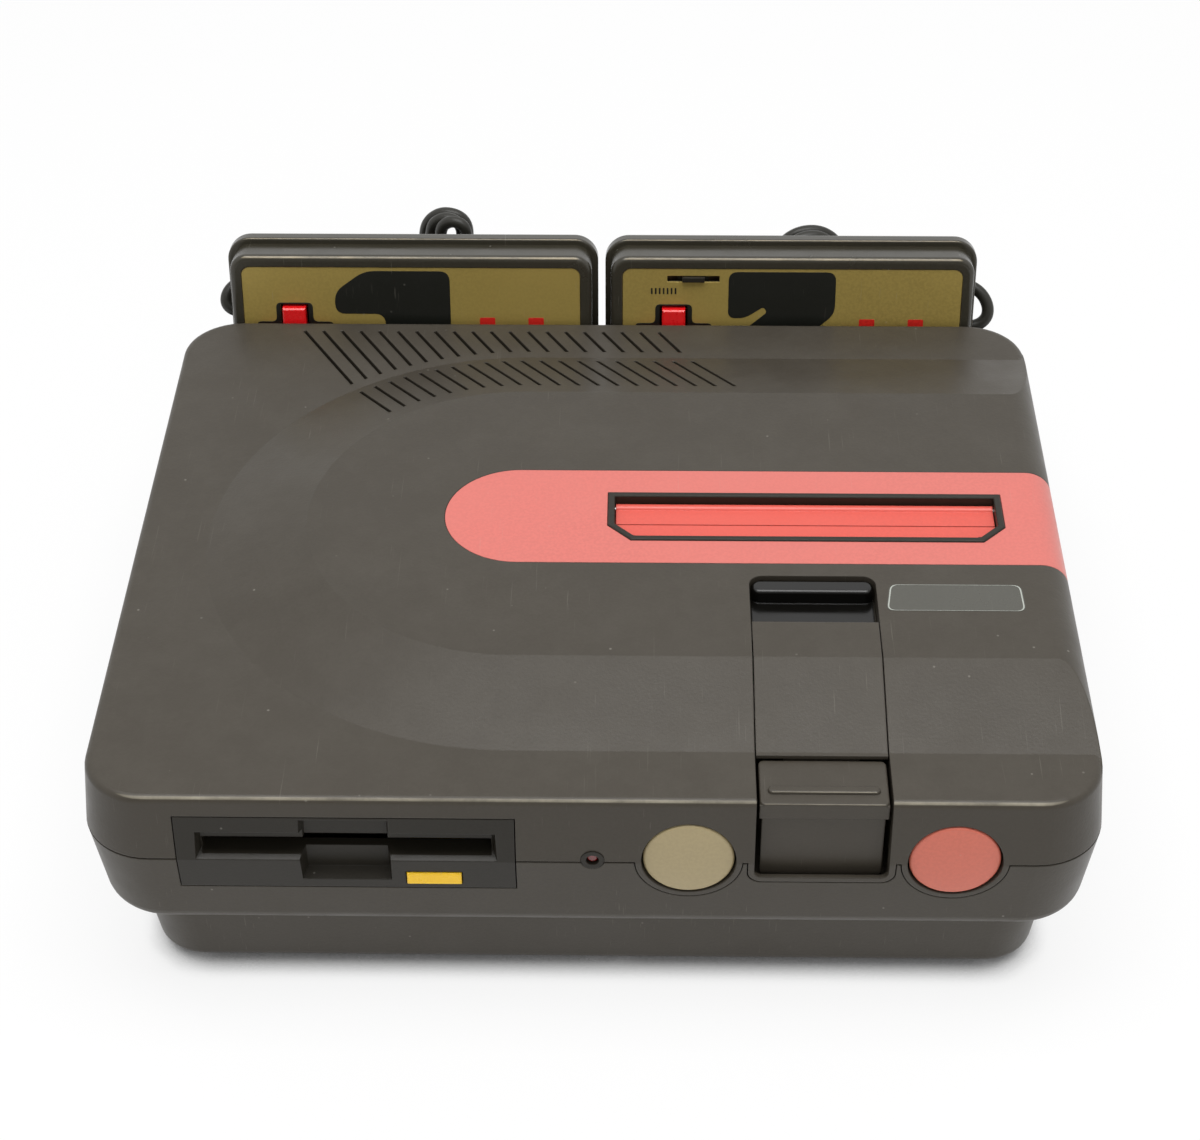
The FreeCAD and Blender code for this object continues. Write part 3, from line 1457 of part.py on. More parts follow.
def tangent_tube(points, radius, name):
    """Tube along straight runs joined by tangent arcs; prints its radii and volume."""
    points = [V(*p) for p in points]
    edges, radii = [], []
    last = points[0]
    for before, corner, after in zip(points, points[1:], points[2:]):
        a, b = before - corner, after - corner
        la, lb = a.Length, b.Length
        a.normalize()
        b.normalize()
        turn = math.pi - a.getAngle(b)
        cut = 0.45 * min(la, lb)
        bend = cut / math.tan(turn / 2)
        start, end = corner + a * cut, corner + b * cut
        inward = a + b
        inward.normalize()
        middle = corner + inward * (bend / math.cos(turn / 2) - bend)
        edges.append(Part.makeLine(last, start))
        edges.append(Part.Arc(start, middle, end).toShape())
        radii.append(bend)
        last = end
    edges.append(Part.makeLine(last, points[-1]))
    return swept_tube(edges, radius, name, radii)


def swept_tube(edges, radius, name, radii):
    path = Part.Wire(edges)
    start = edges[0].valueAt(edges[0].FirstParameter)
    heading = edges[0].tangentAt(edges[0].FirstParameter)
    section = Part.Wire(Part.makeCircle(radius, start, heading))
    tube = path.makePipeShell([section], True, False)
    wanted = math.pi * radius ** 2 * path.Length
    print(name, "radii", [round(r, 1) for r in radii], "length", round(path.Length, 1),
          "volume share", round(tube.Volume / wanted, 4), "valid", tube.isValid())
    return tube


def pad_point(centre_x, x, v, w):
    """A place in a pad's own frame, in the frame of the console."""
    c, s = math.cos(lean), math.sin(lean)
    return (centre_x + x, at(pad_front_depth) + v * c + w * s, pad_bottom_z - v * s + w * c)


def hank_front():
    return at(depth) + hank_standoff


def lead_route(side, centre_x, hank):
    """Out of the pad's side, round behind the pad and down into the hank."""
    x, y, z = pad_point(centre_x, pad_exit(side), cord_exit_v, exit_w(side))
    out, points = right_bow if side > 0 else left_bow
    bow = [(x + side * out * share, y + back, z + up) for share, back, up in points]
    last = bow[-1]
    end = (hank["down_x"][0], hank_front(), cord_join_z + 8.0)
    shares = [(0.16, 0.02), (0.37, 0.09), (0.58, 0.22), (0.77, 0.42), (0.91, 0.68), (1.0, 1.0)]
    fall = [(last[0] + (end[0] - last[0]) * across, last[1] + (end[1] - last[1]) * across,
             last[2] + (end[2] - last[2]) * down) for across, down in shares]
    return bow + fall + [(end[0], end[1], cord_join_z)]


def tail_step():
    """Length of the tail's slanted run and of the level one that ends in the rear wall."""
    last_y = hank_front() + cord_pitch * (len(left_hank["down_x"]) - 0.5)
    return (last_y - at(depth) + tail_seat) / (1 + math.sqrt(0.5))


def tail_start_z():
    return grommet_z - tail_rise - tail_step() * math.sqrt(0.5)


def hank_path(hank):
    """One unbroken path: runs down and up, with a half turn at each end."""
    edges = []
    spot = V(hank["down_x"][0], hank_front(), cord_join_z)
    for i, (down_x, up_x) in enumerate(zip(hank["down_x"], hank["up_x"])):
        spot = run_and_turn(edges, spot, up_x, hank["lows"][i], 0.5, -1)
        if i == len(hank["tops"]):
            edges.append(Part.makeLine(spot, V(up_x, spot.y, tail_start_z())))
            return edges
        next_x = hank["down_x"][i + 1]
        spot = run_and_turn(edges, spot, next_x, hank["tops"][i], hank["rise_share"], 1)


def run_and_turn(edges, spot, to_x, extreme_z, share, up):
    """Straight run, then two quarter circles over to the next run; the first takes this share."""
    across = V(to_x - spot.x, cord_pitch / 2, 0)
    first, second = across.Length * share, across.Length * (1 - share)
    across.normalize()
    turn = V(spot.x, spot.y, extreme_z - up * first)
    edges.append(Part.makeLine(spot, turn))
    crown = turn + across * first + V(0, 0, up * first)
    end = crown + across * second - V(0, 0, up * second)
    slant = math.sqrt(0.5)
    for start, radius, centre, finish, way in ((turn, first, turn + across * first, crown, -1),
                                               (crown, second, crown - V(0, 0, up * second), end, 1)):
        middle = centre + (across * way + V(0, 0, up)) * (slant * radius)
        edges.append(Part.Arc(start, middle, finish).toShape())
    return end


def nearest_self_gap(edges, radius, name):
    """Least gap between loops, on points along the path; neighbours along it don't count."""
    wire = Part.Wire(edges)
    points = wire.discretize(Distance=1.5)
    skip = int(8.0 * radius / 1.5)
    least = reach
    for i, p in enumerate(points):
        for q in points[i + skip:]:
            least = min(least, p.distanceToPoint(q))
    print(name, "least gap to itself", round(least - 2 * radius, 2))


def cord_pieces(side, centre_x, hank, prefix):
    lead = tangent_tube(lead_route(side, centre_x, hank), cord_radius, prefix + "_cord_lead")
    edges = hank_path(hank)
    nearest_self_gap(edges, cord_radius, prefix + "_cord_hank")
    bends = [e.Curve.Radius for e in edges if hasattr(e.Curve, "Radius")]
    coil = swept_tube(edges, cord_radius, prefix + "_cord_hank", bends)
    end = edges[-1].valueAt(edges[-1].LastParameter)
    tail_route = [
        (end.x, end.y, end.z),
        (end.x, end.y, end.z + tail_rise),
        (end.x, end.y - tail_step() * math.sqrt(0.5), grommet_z),
        (end.x, at(depth) - tail_seat, grommet_z),
    ]
    tail = tangent_tube(tail_route, cord_radius, prefix + "_cord_tail")
    return lead, coil, tail


def hank_ties():
    """Soft ties round the middle of both hanks."""
    ties = []
    pad = cord_radius + gap
    for hank in (left_hank, right_hank):
        xs = hank["down_x"] + hank["up_x"][:-1]
        x0, x1 = min(xs) - pad, max(xs) + pad
        y0 = hank_front() - pad
        y1 = hank_front() + cord_pitch * (len(hank["down_x"]) - 1) + pad
        z1 = cord_join_z - 2.0
        z0 = z1 - tie_height
        t = tie_thickness
        outside = rounded_block(x0 - t, x1 + t, y0 - t, y1 + t, z0, z1, cord_radius + t)
        ties.append(outside.cut(rounded_block(x0, x1, y0, y1, z0 - 1, z1 + 1, cord_radius)))
    return ties


def save(name, shape):
    if isinstance(shape, list):
        shape = Part.makeCompound(shape)
    solids = shape.Solids
    bad = [s for s in solids if not s.isValid()]
    print(name, "solids", len(solids), "volume", round(shape.Volume), "INVALID" if bad else "")
    Part.makeCompound(solids).exportStep("parts/" + name + ".step")


def pad_nodes(prefix, centre_x, side, first):
    pieces = {
        "front_shell": pad_front_shell(first), "back_shell": pad_back_shell(side),
        "face_plate": pad_face_plate(first), "dpad": pad_dpad(),
        "a_button": pad_key(a_key_x), "b_button": pad_key(b_key_x),
        "board": pad_board(first), "screws": Part.makeCompound(pad_screws()),
    }
    if first:
        pieces["select_button"] = pad_pill(select_x)
        pieces["start_button"] = pad_pill(start_x)
    else:
        pieces["mic_slider"] = mic_slider()
    for name, shape in pieces.items():
        save(prefix + "_" + name, pad_frame(shape, centre_x))


def main():
    os.makedirs("parts", exist_ok=True)
    outer = upper_outer()
    hull = outer.fuse(belt_outer())
    save("upper_case", upper_case(outer))
    save("lower_case", lower_case())
    save("rubber_feet", rubber_feet())
    save("case_screws", case_screws())
    save("cartridge_panel", cartridge_panel(outer))
    save("slot_frame", slot_frame())
    save("flap_pins", flap_pins())
    save("flap_springs", flap_springs())
    save("flap_rear", flap_rear())
    save("flap_front", flap_front())
    save("cover_plate", cover_plate(outer))
    save("eject_lever", eject_lever())
    save("selector_slider", selector_slider())
    save("reset_button", round_button(reset_x, 0.3))
    save("power_button", round_button(power_x, 0.3))
    save("button_switches", button_switches())
    save("lamp_ring", lamp_ring())
    save("lamp_lens", lamp_lens())
    save("drive_bezel", drive_bezel(hull))
    save("disk_eject_button", disk_eject_button())
    save("drive_chassis", drive_chassis())
    save("drive_flywheel", drive_flywheel())
    save("motor_pulley", motor_pulley())
    save("drive_motor", drive_motor())
    save("drive_belt", drive_belt())
    save("head_sled", head_sled())
    save("main_board", main_board())
    save("cartridge_connector", cartridge_connector())
    save("dc_jack", dc_jack())
    save("av_jacks", av_jacks())
    save("rf_jack", rf_jack())
    save("expansion_connector", expansion_connector())
    save("rear_cradle", rear_cradle())
    save("console_grommets", console_grommets())
    pad_nodes("left_pad", left_pad_x, -1, True)
    pad_nodes("right_pad", right_pad_x, 1, False)
    for prefix, side, x, hank in (("left_pad", -1, left_pad_x, left_hank),
                                  ("right_pad", 1, right_pad_x, right_hank)):
        lead, coil, tail = cord_pieces(side, x, hank, prefix)
        save(prefix + "_cord_lead", lead)
        save(prefix + "_cord_hank", coil)
        save(prefix + "_cord_tail", tail)
    save("hank_ties", hank_ties())


main()
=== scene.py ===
import json
import math
import random

import bpy
from mathutils import Matrix, Vector


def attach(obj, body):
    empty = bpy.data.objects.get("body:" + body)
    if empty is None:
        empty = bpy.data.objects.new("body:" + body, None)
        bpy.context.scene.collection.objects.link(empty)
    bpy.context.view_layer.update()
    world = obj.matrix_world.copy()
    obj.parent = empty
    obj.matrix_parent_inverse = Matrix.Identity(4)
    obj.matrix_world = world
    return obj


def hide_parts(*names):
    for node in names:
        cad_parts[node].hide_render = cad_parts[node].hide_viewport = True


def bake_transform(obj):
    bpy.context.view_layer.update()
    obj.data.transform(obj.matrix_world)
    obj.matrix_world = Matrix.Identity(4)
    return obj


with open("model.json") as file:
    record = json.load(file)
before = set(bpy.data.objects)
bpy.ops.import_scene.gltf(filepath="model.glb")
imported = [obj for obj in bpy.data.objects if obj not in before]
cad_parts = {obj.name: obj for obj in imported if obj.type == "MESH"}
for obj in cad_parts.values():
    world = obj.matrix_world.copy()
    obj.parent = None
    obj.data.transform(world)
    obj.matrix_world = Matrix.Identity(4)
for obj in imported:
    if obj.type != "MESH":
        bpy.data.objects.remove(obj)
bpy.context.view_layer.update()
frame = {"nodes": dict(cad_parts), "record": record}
nodes = frame["nodes"]
scene = bpy.context.scene
MM = 0.001

# Camera, fitted to the photograph: angles in degrees, lens in mm, place in metres

ELEVATION, YAW, ROLL = 39.472, -1.1707, 0.3875
LENS, SENSOR = 77.01, 36
CAMERA_PLACE = (0.012889, -0.619953, 0.563015)


def set_camera():
    elevation, yaw, roll = (math.radians(a) for a in (ELEVATION, YAW, ROLL))
    level = math.cos(elevation)
    forward = Vector((math.sin(yaw) * level, math.cos(yaw) * level, -math.sin(elevation)))
    right = Vector((math.cos(yaw), -math.sin(yaw), 0))
    down = forward.cross(right)
    rolled_right = right * math.cos(roll) + down * math.sin(roll)
    rolled_up = right * math.sin(roll) - down * math.cos(roll)
    data = bpy.data.cameras.new("camera")
    data.sensor_width = SENSOR
    data.lens = LENS
    data.clip_start = 0.01
    data.clip_end = 50
    camera = bpy.data.objects.new("camera", data)
    scene.collection.objects.link(camera)
    turn = Matrix((rolled_right, rolled_up, -forward)).transposed().to_4x4()
    camera.matrix_world = Matrix.Translation(CAMERA_PLACE) @ turn
    scene.camera = camera


set_camera()

# Materials

def srgb(r, g, b):
    def linear(c):
        c /= 255
        return c / 12.92 if c <= 0.04045 else ((c + 0.055) / 1.055) ** 2.4
    return (linear(r), linear(g), linear(b), 1)


def shade(colour, factor):
    return tuple(min(1, c * factor) for c in colour[:3]) + (1,)


class Nodes:
    """Short calls that add and wire the shader nodes of a material or world."""

    def __init__(self, owner):
        owner.use_nodes = True
        self.owner = owner
        self.tree = owner.node_tree

    def put(self, node, sockets):
        """Gives each named or numbered input a value, or a link from another node's output."""
        for key, value in sockets.items():
            if isinstance(value, bpy.types.NodeSocket):
                self.tree.links.new(value, node.inputs[key])
            else:
                node.inputs[key].default_value = value

    def add(self, kind, sockets=None, **settings):
        node = self.tree.nodes.new("ShaderNode" + kind)
        for key, value in settings.items():
            setattr(node, key, value)
        self.put(node, sockets or {})
        return node

    def ramp(self, value, low, high, a=0.0, b=1.0):
        """The value from low to high, stretched to run from a to b and held there."""
        return self.add("MapRange", {"Value": value, "From Min": low, "From Max": high,
                                     "To Min": a, "To Max": b}).outputs["Result"]

    def math(self, operation, a, b=0.0):
        return self.add("Math", {0: a, 1: b}, operation=operation).outputs[0]

    def mix(self, share, a, b):
        return self.add("Mix", {0: share, 6: a, 7: b}, data_type="RGBA").outputs[2]

    def normal(self):
        return self.add("NewGeometry").outputs["Normal"]

    def agreement(self, a, b):
        """Cosine between two directions."""
        return self.add("VectorMath", {0: a, 1: b}, operation="DOT_PRODUCT").outputs["Value"]


class Material(Nodes):
    """A material with textures on the object's own coordinates, in metres."""

    def __init__(self, name):
        super().__init__(bpy.data.materials.new(name))
        self.bsdf = self.tree.nodes["Principled BSDF"]
        self.coord = self.add("TexCoord").outputs["Object"]

    def mapped(self, scale, rotation=(0, 0, 0)):
        turned = self.add("Mapping", {"Vector": self.coord, "Scale": scale, "Rotation": rotation})
        return turned.outputs["Vector"]

    def noise(self, scale, detail=2.0, rough=0.5, vector=None):
        return self.add("TexNoise", {"Vector": vector or self.coord, "Scale": scale, "Detail": detail,
                                     "Roughness": rough}).outputs["Fac"]

    def mottle(self, colour, amount):
        """The colour with slow clouds, blotches and a fine grain."""
        base = self.mix(self.ramp(self.noise(14, 4, 0.6), 0.32, 0.68), shade(colour, 1 - amount),
                        shade(colour, 1 + amount))
        blotches = self.ramp(self.noise(160, 3, 0.7), 0.35, 0.75, 0, 0.22)
        base = self.mix(blotches, base, shade(colour, 1 + 1.6 * amount))
        grain = self.ramp(self.noise(1100, 1, 0.5), 0.35, 0.65)
        return self.mix(grain, base, shade(colour, 1 + 1.5 * amount))

    def dust(self, base, amount):
        """A thin patchy film on what faces up."""
        up = self.add("SeparateXYZ", {"Vector": self.normal()}).outputs["Z"]
        patches = self.ramp(self.noise(60, 6, 0.75), 0.42, 0.8, 0, amount)
        return self.mix(self.math("MULTIPLY", self.ramp(up, 0.3, 1.0), patches), base, DUST)

    def scratch(self, base, amount):
        """Long fine marks in three directions, in patches."""
        marks = 0.0
        for angle, offset in ((0.35, 0), (-0.6, 3), (1.4, 7)):
            along = self.mapped((2200, 46, 120), (0, 0, angle))
            moved = self.add("VectorMath", {0: along, 1: (offset, offset * 2.1, 0)}, operation="ADD")
            line = self.ramp(self.noise(1, 1, 0.4, moved.outputs[0]), 0.735, 0.80)
            patches = self.ramp(self.noise(22 + offset, 2), 0.5, 0.62)
            marks = self.math("MAXIMUM", marks, self.math("MULTIPLY", line, patches))
        return self.mix(self.math("MULTIPLY", marks, amount), base, SCRATCH)

    def speck(self, base, amount):
        """Sparse pale specks, in the middle of a few cells."""
        cells = self.add("TexVoronoi", {"Vector": self.coord, "Scale": 210}).outputs
        dot = self.ramp(cells["Distance"], 0.10, 0.05)
        chance = self.add("SeparateColor", {"Color": cells["Color"]}).outputs[0]
        dot = self.math("MULTIPLY", dot, self.ramp(chance, 0.90, 0.96))
        return self.mix(self.math("MULTIPLY", dot, amount), base, SPECK)

    def wear(self, base, bevel, amount, colour):
        """Bare patches on edges, where the rounded normal leaves the true one."""
        edge = self.ramp(self.agreement(bevel, self.normal()), 0.985, 0.90)
        bare = self.math("MULTIPLY", edge, self.ramp(self.noise(90, 5, 0.75), 0.38, 0.62))
        return self.mix(self.math("MULTIPLY", bare, amount), base, colour)

    def paint_highlight(self, base, direction, amount, colour):
        """Painted highlight: a pale film, in patches, on the faces that look this way, in place of the line
        of reflected light on those edges.
        """
        way = tuple(Vector(direction).normalized())
        facing_highlight = self.ramp(self.agreement(self.normal(), way), 0.968, 0.995)
        film = self.ramp(self.noise(55, 5, 0.7), 0.35, 0.7, 0.3 * amount, amount)
        return self.mix(self.math("MULTIPLY", facing_highlight, film), base, colour)


DUST = srgb(150, 146, 136)
SCRATCH = srgb(176, 172, 160)
SPECK = srgb(190, 186, 176)


def plastic(name, colour, rough, grain, mottle, grain_scale=1500, edge=0.0006, spec=0.5, metallic=0.0,
            coat=0.0, dust=0.0, scratch=0.0, specks=0.0, wear=0.0, wear_colour=None, painted_highlight=None):
    """Moulded plastic; edge is the radius, in metres, that its plain edges seem to have."""
    n = Material(name)
    bevel = n.add("Bevel", {"Radius": edge}, samples=4).outputs[0]
    base = n.mottle(colour, mottle)
    if dust:
        base = n.dust(base, dust)
    if scratch:
        base = n.scratch(base, scratch)
    if specks:
        base = n.speck(base, specks)
    if wear:
        base = n.wear(base, bevel, wear, wear_colour or shade(colour, 2.2))
    # painted highlight: a pale film on the faces that look one way
    if painted_highlight:
        base = n.paint_highlight(base, *painted_highlight)
    bump = n.add("Bump", {"Height": n.noise(grain_scale, 2, 0.6), "Normal": bevel, "Strength": grain,
                          "Distance": 0.0001})
    n.put(n.bsdf, {
        "Base Color": base,
        "Roughness": n.ramp(n.noise(45, 5, 0.65), 0.3, 0.75, rough - 0.06, rough + 0.09),
        "Specular IOR Level": spec,
        "Normal": bump.outputs[0],
        "Coat Weight": coat,
        "Coat Roughness": 0.15,
        "Metallic": metallic,
    })
    return n.owner


def brushed(name, colour, rough, along):
    """Metal with streaks; along holds the streaks' scale on each axis."""
    n = Material(name)
    streak = n.noise(1, 3, 0.6, n.mapped(along))
    base = n.mix(n.ramp(streak, 0.3, 0.7), shade(colour, 0.86), shade(colour, 1.14))
    stains = n.ramp(n.noise(40, 5, 0.7), 0.5, 0.8, 0, 0.25)
    bump = n.add("Bump", {"Height": streak, "Strength": 0.12, "Distance": 0.00005})
    n.put(n.bsdf, {
        "Base Color": n.mix(stains, base, shade(colour, 0.55)),
        "Roughness": n.ramp(streak, 0.3, 0.7, rough - 0.07, rough + 0.1),
        "Normal": bump.outputs[0],
        "Metallic": 1.0,
    })
    return n.owner


def board_material(name, colour):
    """Circuit board with paler traces and blotches."""
    n = Material(name)
    traces = n.add("TexBrick", {
        "Vector": n.coord, "Scale": 90, "Mortar Size": 0.06,
        "Color1": shade(colour, 0.85), "Color2": colour, "Mortar": shade(colour, 1.6)}).outputs["Color"]
    blotches = n.ramp(n.noise(300, 3), 0.55, 0.7, 0, 0.4)
    n.put(n.bsdf, {"Base Color": n.mix(blotches, traces, shade(colour, 1.8)), "Roughness": 0.35})
    return n.owner


def lamp_glass(name, colour):
    """Dark glossy lens with small facets."""
    n = Material(name)
    facets = n.add("TexVoronoi", {"Vector": n.coord, "Scale": 900}).outputs["Distance"]
    n.put(n.bsdf, {"Base Color": n.mix(n.ramp(facets, 0.2, 0.8), shade(colour, 0.7), colour),
                   "Roughness": 0.12, "Coat Weight": 0.8})
    return n.owner


# The way that the faces with a painted highlight look: the case's front edge, and the pads' upper ones,
# which lean with the pads
FRONT_HIGHLIGHT_FACING = (0, -0.6, 0.8)
PAD_HIGHLIGHT_FACING = (0, -0.5736, 0.8192)
# Each plastic's colour, gloss, grain and marks
PLASTICS = {
    "case_plastic": dict(colour=srgb(66, 61, 53), rough=0.38, grain=0.45, grain_scale=1100, mottle=0.035,
                         specks=0.25, scratch=0.10, wear=0.15, dust=0.05, spec=0.3,
                         # painted highlight along the case's front edge, pale where the light's reflection
                         # falls
                         painted_highlight=(FRONT_HIGHLIGHT_FACING, 0.5, srgb(200, 192, 170))),
    "black_plastic": dict(colour=srgb(41, 38, 32), rough=0.34, grain=0.3, grain_scale=1400, mottle=0.06,
                          specks=0.2, wear=0.15, edge=0.0004, spec=0.25),
    "gloss_black": dict(colour=srgb(13, 12, 10), rough=0.18, grain=0.03, mottle=0.05, specks=0.2, coat=0.15,
                        spec=0.4),
    "red_band": dict(colour=srgb(214, 117, 108), rough=0.36, grain=0.2, grain_scale=1300, mottle=0.035,
                     specks=0.1, scratch=0.12, edge=0.0003, dust=0.04, spec=0.4),
    "red_flap": dict(colour=srgb(222, 92, 79), rough=0.32, grain=0.14, mottle=0.03, specks=0.1, edge=0.0003),
    "power_pink": dict(colour=srgb(206, 108, 88), rough=0.32, grain=0.2, grain_scale=1300, mottle=0.04,
                       specks=0.3, scratch=0.2, wear=0.3),
    "reset_sand": dict(colour=srgb(166, 150, 112), rough=0.32, grain=0.2, grain_scale=1300, mottle=0.04,
                       specks=0.3, scratch=0.2, wear=0.3),
    "yellow_plastic": dict(colour=srgb(255, 202, 30), rough=0.30, grain=0.06, mottle=0.02, edge=0.0003),
    "gold_plate": dict(colour=srgb(173, 151, 82), rough=0.34, grain=0.10, grain_scale=2400, mottle=0.07,
                       specks=0.15, scratch=0.2, wear=0.3, edge=0.0003, metallic=0.3, dust=0.04),
    "pad_black": dict(colour=srgb(54, 51, 42), rough=0.22, grain=0.15, grain_scale=1400, mottle=0.06,
                      specks=0.3, scratch=0.15, wear=0.35, wear_colour=srgb(150, 128, 84), spec=0.45,
                      # painted highlight along the pads' upper edges, pale where the light's reflection
                      # falls
                      painted_highlight=(PAD_HIGHLIGHT_FACING, 0.55, srgb(206, 188, 150))),
    "pad_red": dict(colour=srgb(232, 26, 30), rough=0.26, grain=0.08, mottle=0.05, specks=0.1, edge=0.0004,
                    coat=0.2),
    "soft_rubber": dict(colour=srgb(42, 41, 36), rough=0.40, grain=0.16, grain_scale=1300, mottle=0.08,
                        specks=0.2, edge=0.0002, spec=0.35),
    "grey_plastic": dict(colour=srgb(120, 119, 114), rough=0.45, grain=0.15, mottle=0.06, edge=0.0004),
    "tie_white": dict(colour=srgb(205, 203, 196), rough=0.5, grain=0.2, mottle=0.05, edge=0.0004),
    "print_black": dict(colour=srgb(26, 27, 23), rough=0.34, grain=0.06, grain_scale=2400, mottle=0.1,
                        specks=0.2, scratch=0.15, edge=0.0001),
    "print_red": dict(colour=srgb(206, 40, 32), rough=0.34, grain=0.06, grain_scale=2400, mottle=0.1,
                      specks=0.2, edge=0.0001),
    "label_film": dict(colour=srgb(80, 79, 72), rough=0.25, grain=0.03, mottle=0.03, scratch=0.2,
                       edge=0.0001),
    "label_line": dict(colour=srgb(176, 180, 172), rough=0.4, grain=0.03, mottle=0.05, edge=0.0001),
}
# Each metal's colour, roughness and the scale of its streaks on each axis
METALS = {
    "sheet_steel": ((0.5, 0.5, 0.49, 1), 0.34, (30, 1800, 1800)),
    "spring_steel": ((0.55, 0.55, 0.54, 1), 0.25, (1800, 60, 60)),
    "screw_steel": ((0.45, 0.44, 0.42, 1), 0.34, (900, 900, 40)),
    "alloy": ((0.62, 0.61, 0.58, 1), 0.28, (40, 1800, 40)),
}
BOARDS = {"board_green": (0.03, 0.16, 0.06, 1), "board_brown": (0.05, 0.03, 0.015, 1)}

M = {name: plastic(name, **look) for name, look in PLASTICS.items()}
M.update((name, brushed(name, *look)) for name, look in METALS.items())
M.update((name, board_material(name, colour)) for name, colour in BOARDS.items())
M["lamp_red"] = lamp_glass("lamp_red", srgb(120, 16, 14))

slot_of = {s["node"]: s["material_slot"] for s in frame["record"]["subparts"]}
for name, obj in nodes.items():
    obj.data.materials.clear()
    obj.data.materials.append(M[slot_of[name]])

# Mesh helpers

def mesh_object(name, verts, faces, material, smooth=True):
    data = bpy.data.meshes.new(name)
    data.from_pydata([tuple(v) for v in verts], [], faces)
    data.validate()
    data.update()
    data.materials.append(material)
    for face in data.polygons:
        face.use_smooth = smooth
    obj = bpy.data.objects.new(name, data)
    scene.collection.objects.link(obj)
    return obj


def tube(name, points, radius, material, sides=12):
    """Round tube along close points, with its ring turned as little as possible."""
    points = [Vector(p) for p in points]
    verts, faces = [], []
    normal = None
    for i, p in enumerate(points):
        ahead = points[min(i + 1, len(points) - 1)] - points[max(i - 1, 0)]
        ahead.normalize()
        if normal is None:
            normal = ahead.orthogonal().normalized()
        normal = (normal - ahead * normal.dot(ahead)).normalized()
        side = ahead.cross(normal)
        for k in range(sides):
            a = 2 * math.pi * k / sides
            verts.append(p + normal * (radius * math.cos(a)) + side * (radius * math.sin(a)))
    for i in range(len(points) - 1):
        for k in range(sides):
            a, b = i * sides + k, i * sides + (k + 1) % sides
            faces.append((a, b, b + sides, a + sides))
    faces.append(tuple(reversed(range(sides))))
    faces.append(tuple(range(len(verts) - sides, len(verts))))
    return mesh_object(name, verts, faces, material)


def rounded(points, radius, steps=5):
    """The outline with its corners rounded, each by a short curve."""
    out = []
    count = len(points)
    for i in range(count):
        a, b, c = Vector(points[i - 1]), Vector(points[i]), Vector(points[(i + 1) % count])
        u, w = (a - b), (c - b)
        r = min(radius, 0.45 * u.length, 0.45 * w.length)
        start, end = b + u.normalized() * r, b + w.normalized() * r
        for k in range(steps + 1):
            t = k / steps
            out.append((start * (1 - t) ** 2 + b * 2 * t * (1 - t) + end * t * t)[:])
    return out


def box_outline(x0, x1, y0, y1, radius, steps=5):
    return rounded([(x0, y0), (x1, y0), (x1, y1), (x0, y1)], radius, steps)


def raised_print(name, place, outline, high, material, hole=None):
    """Thin raised shape; its outline and hole run anticlockwise, seen from outside.

    place(x, y, height) gives a point of the scene for a point of the outline, in mm.
    """
    rings = [outline, hole] if hole else [outline]
    verts = [place(x, y, level) * MM for level in (0, high) for ring in rings for x, y in ring]
    count, layer = len(outline), len(outline) * len(rings)
    faces = []
    for i in range(count):
        j = (i + 1) % count
        faces.append((i, j, j + layer, i + layer))
        if hole:
            p, q = count + i, count + j
            faces.append((p + layer, q + layer, q, p))
            faces.append((i, p, q, j))
            faces.append((layer + i, layer + j, layer + q, layer + p))
    if not hole:
        faces += [tuple(reversed(range(count))), tuple(range(layer, layer + count))]
    return mesh_object(name, verts, faces, material, False)


def nurbs_path(name, points):
    """Points read from a smooth spline whose control points are the route."""
    data = bpy.data.curves.new(name + "_route", "CURVE")
    data.dimensions = "3D"
    data.resolution_u = 10
    spline = data.splines.new("NURBS")
    spline.points.add(len(points) - 1)
    for control, p in zip(spline.points, points):
        control.co = (*p, 1)
    spline.order_u = 3
    spline.use_endpoint_u = True
    obj = bpy.data.objects.new(name + "_route", data)
    scene.collection.objects.link(obj)
    bpy.context.view_layer.update()
    mesh = bpy.data.meshes.new_from_object(obj)
    path = [v.co.copy() for v in mesh.vertices]
    bpy.data.objects.remove(obj)
    bpy.data.meshes.remove(mesh)
    return path


# Cords, with the route that the part's own source gives them, in mm

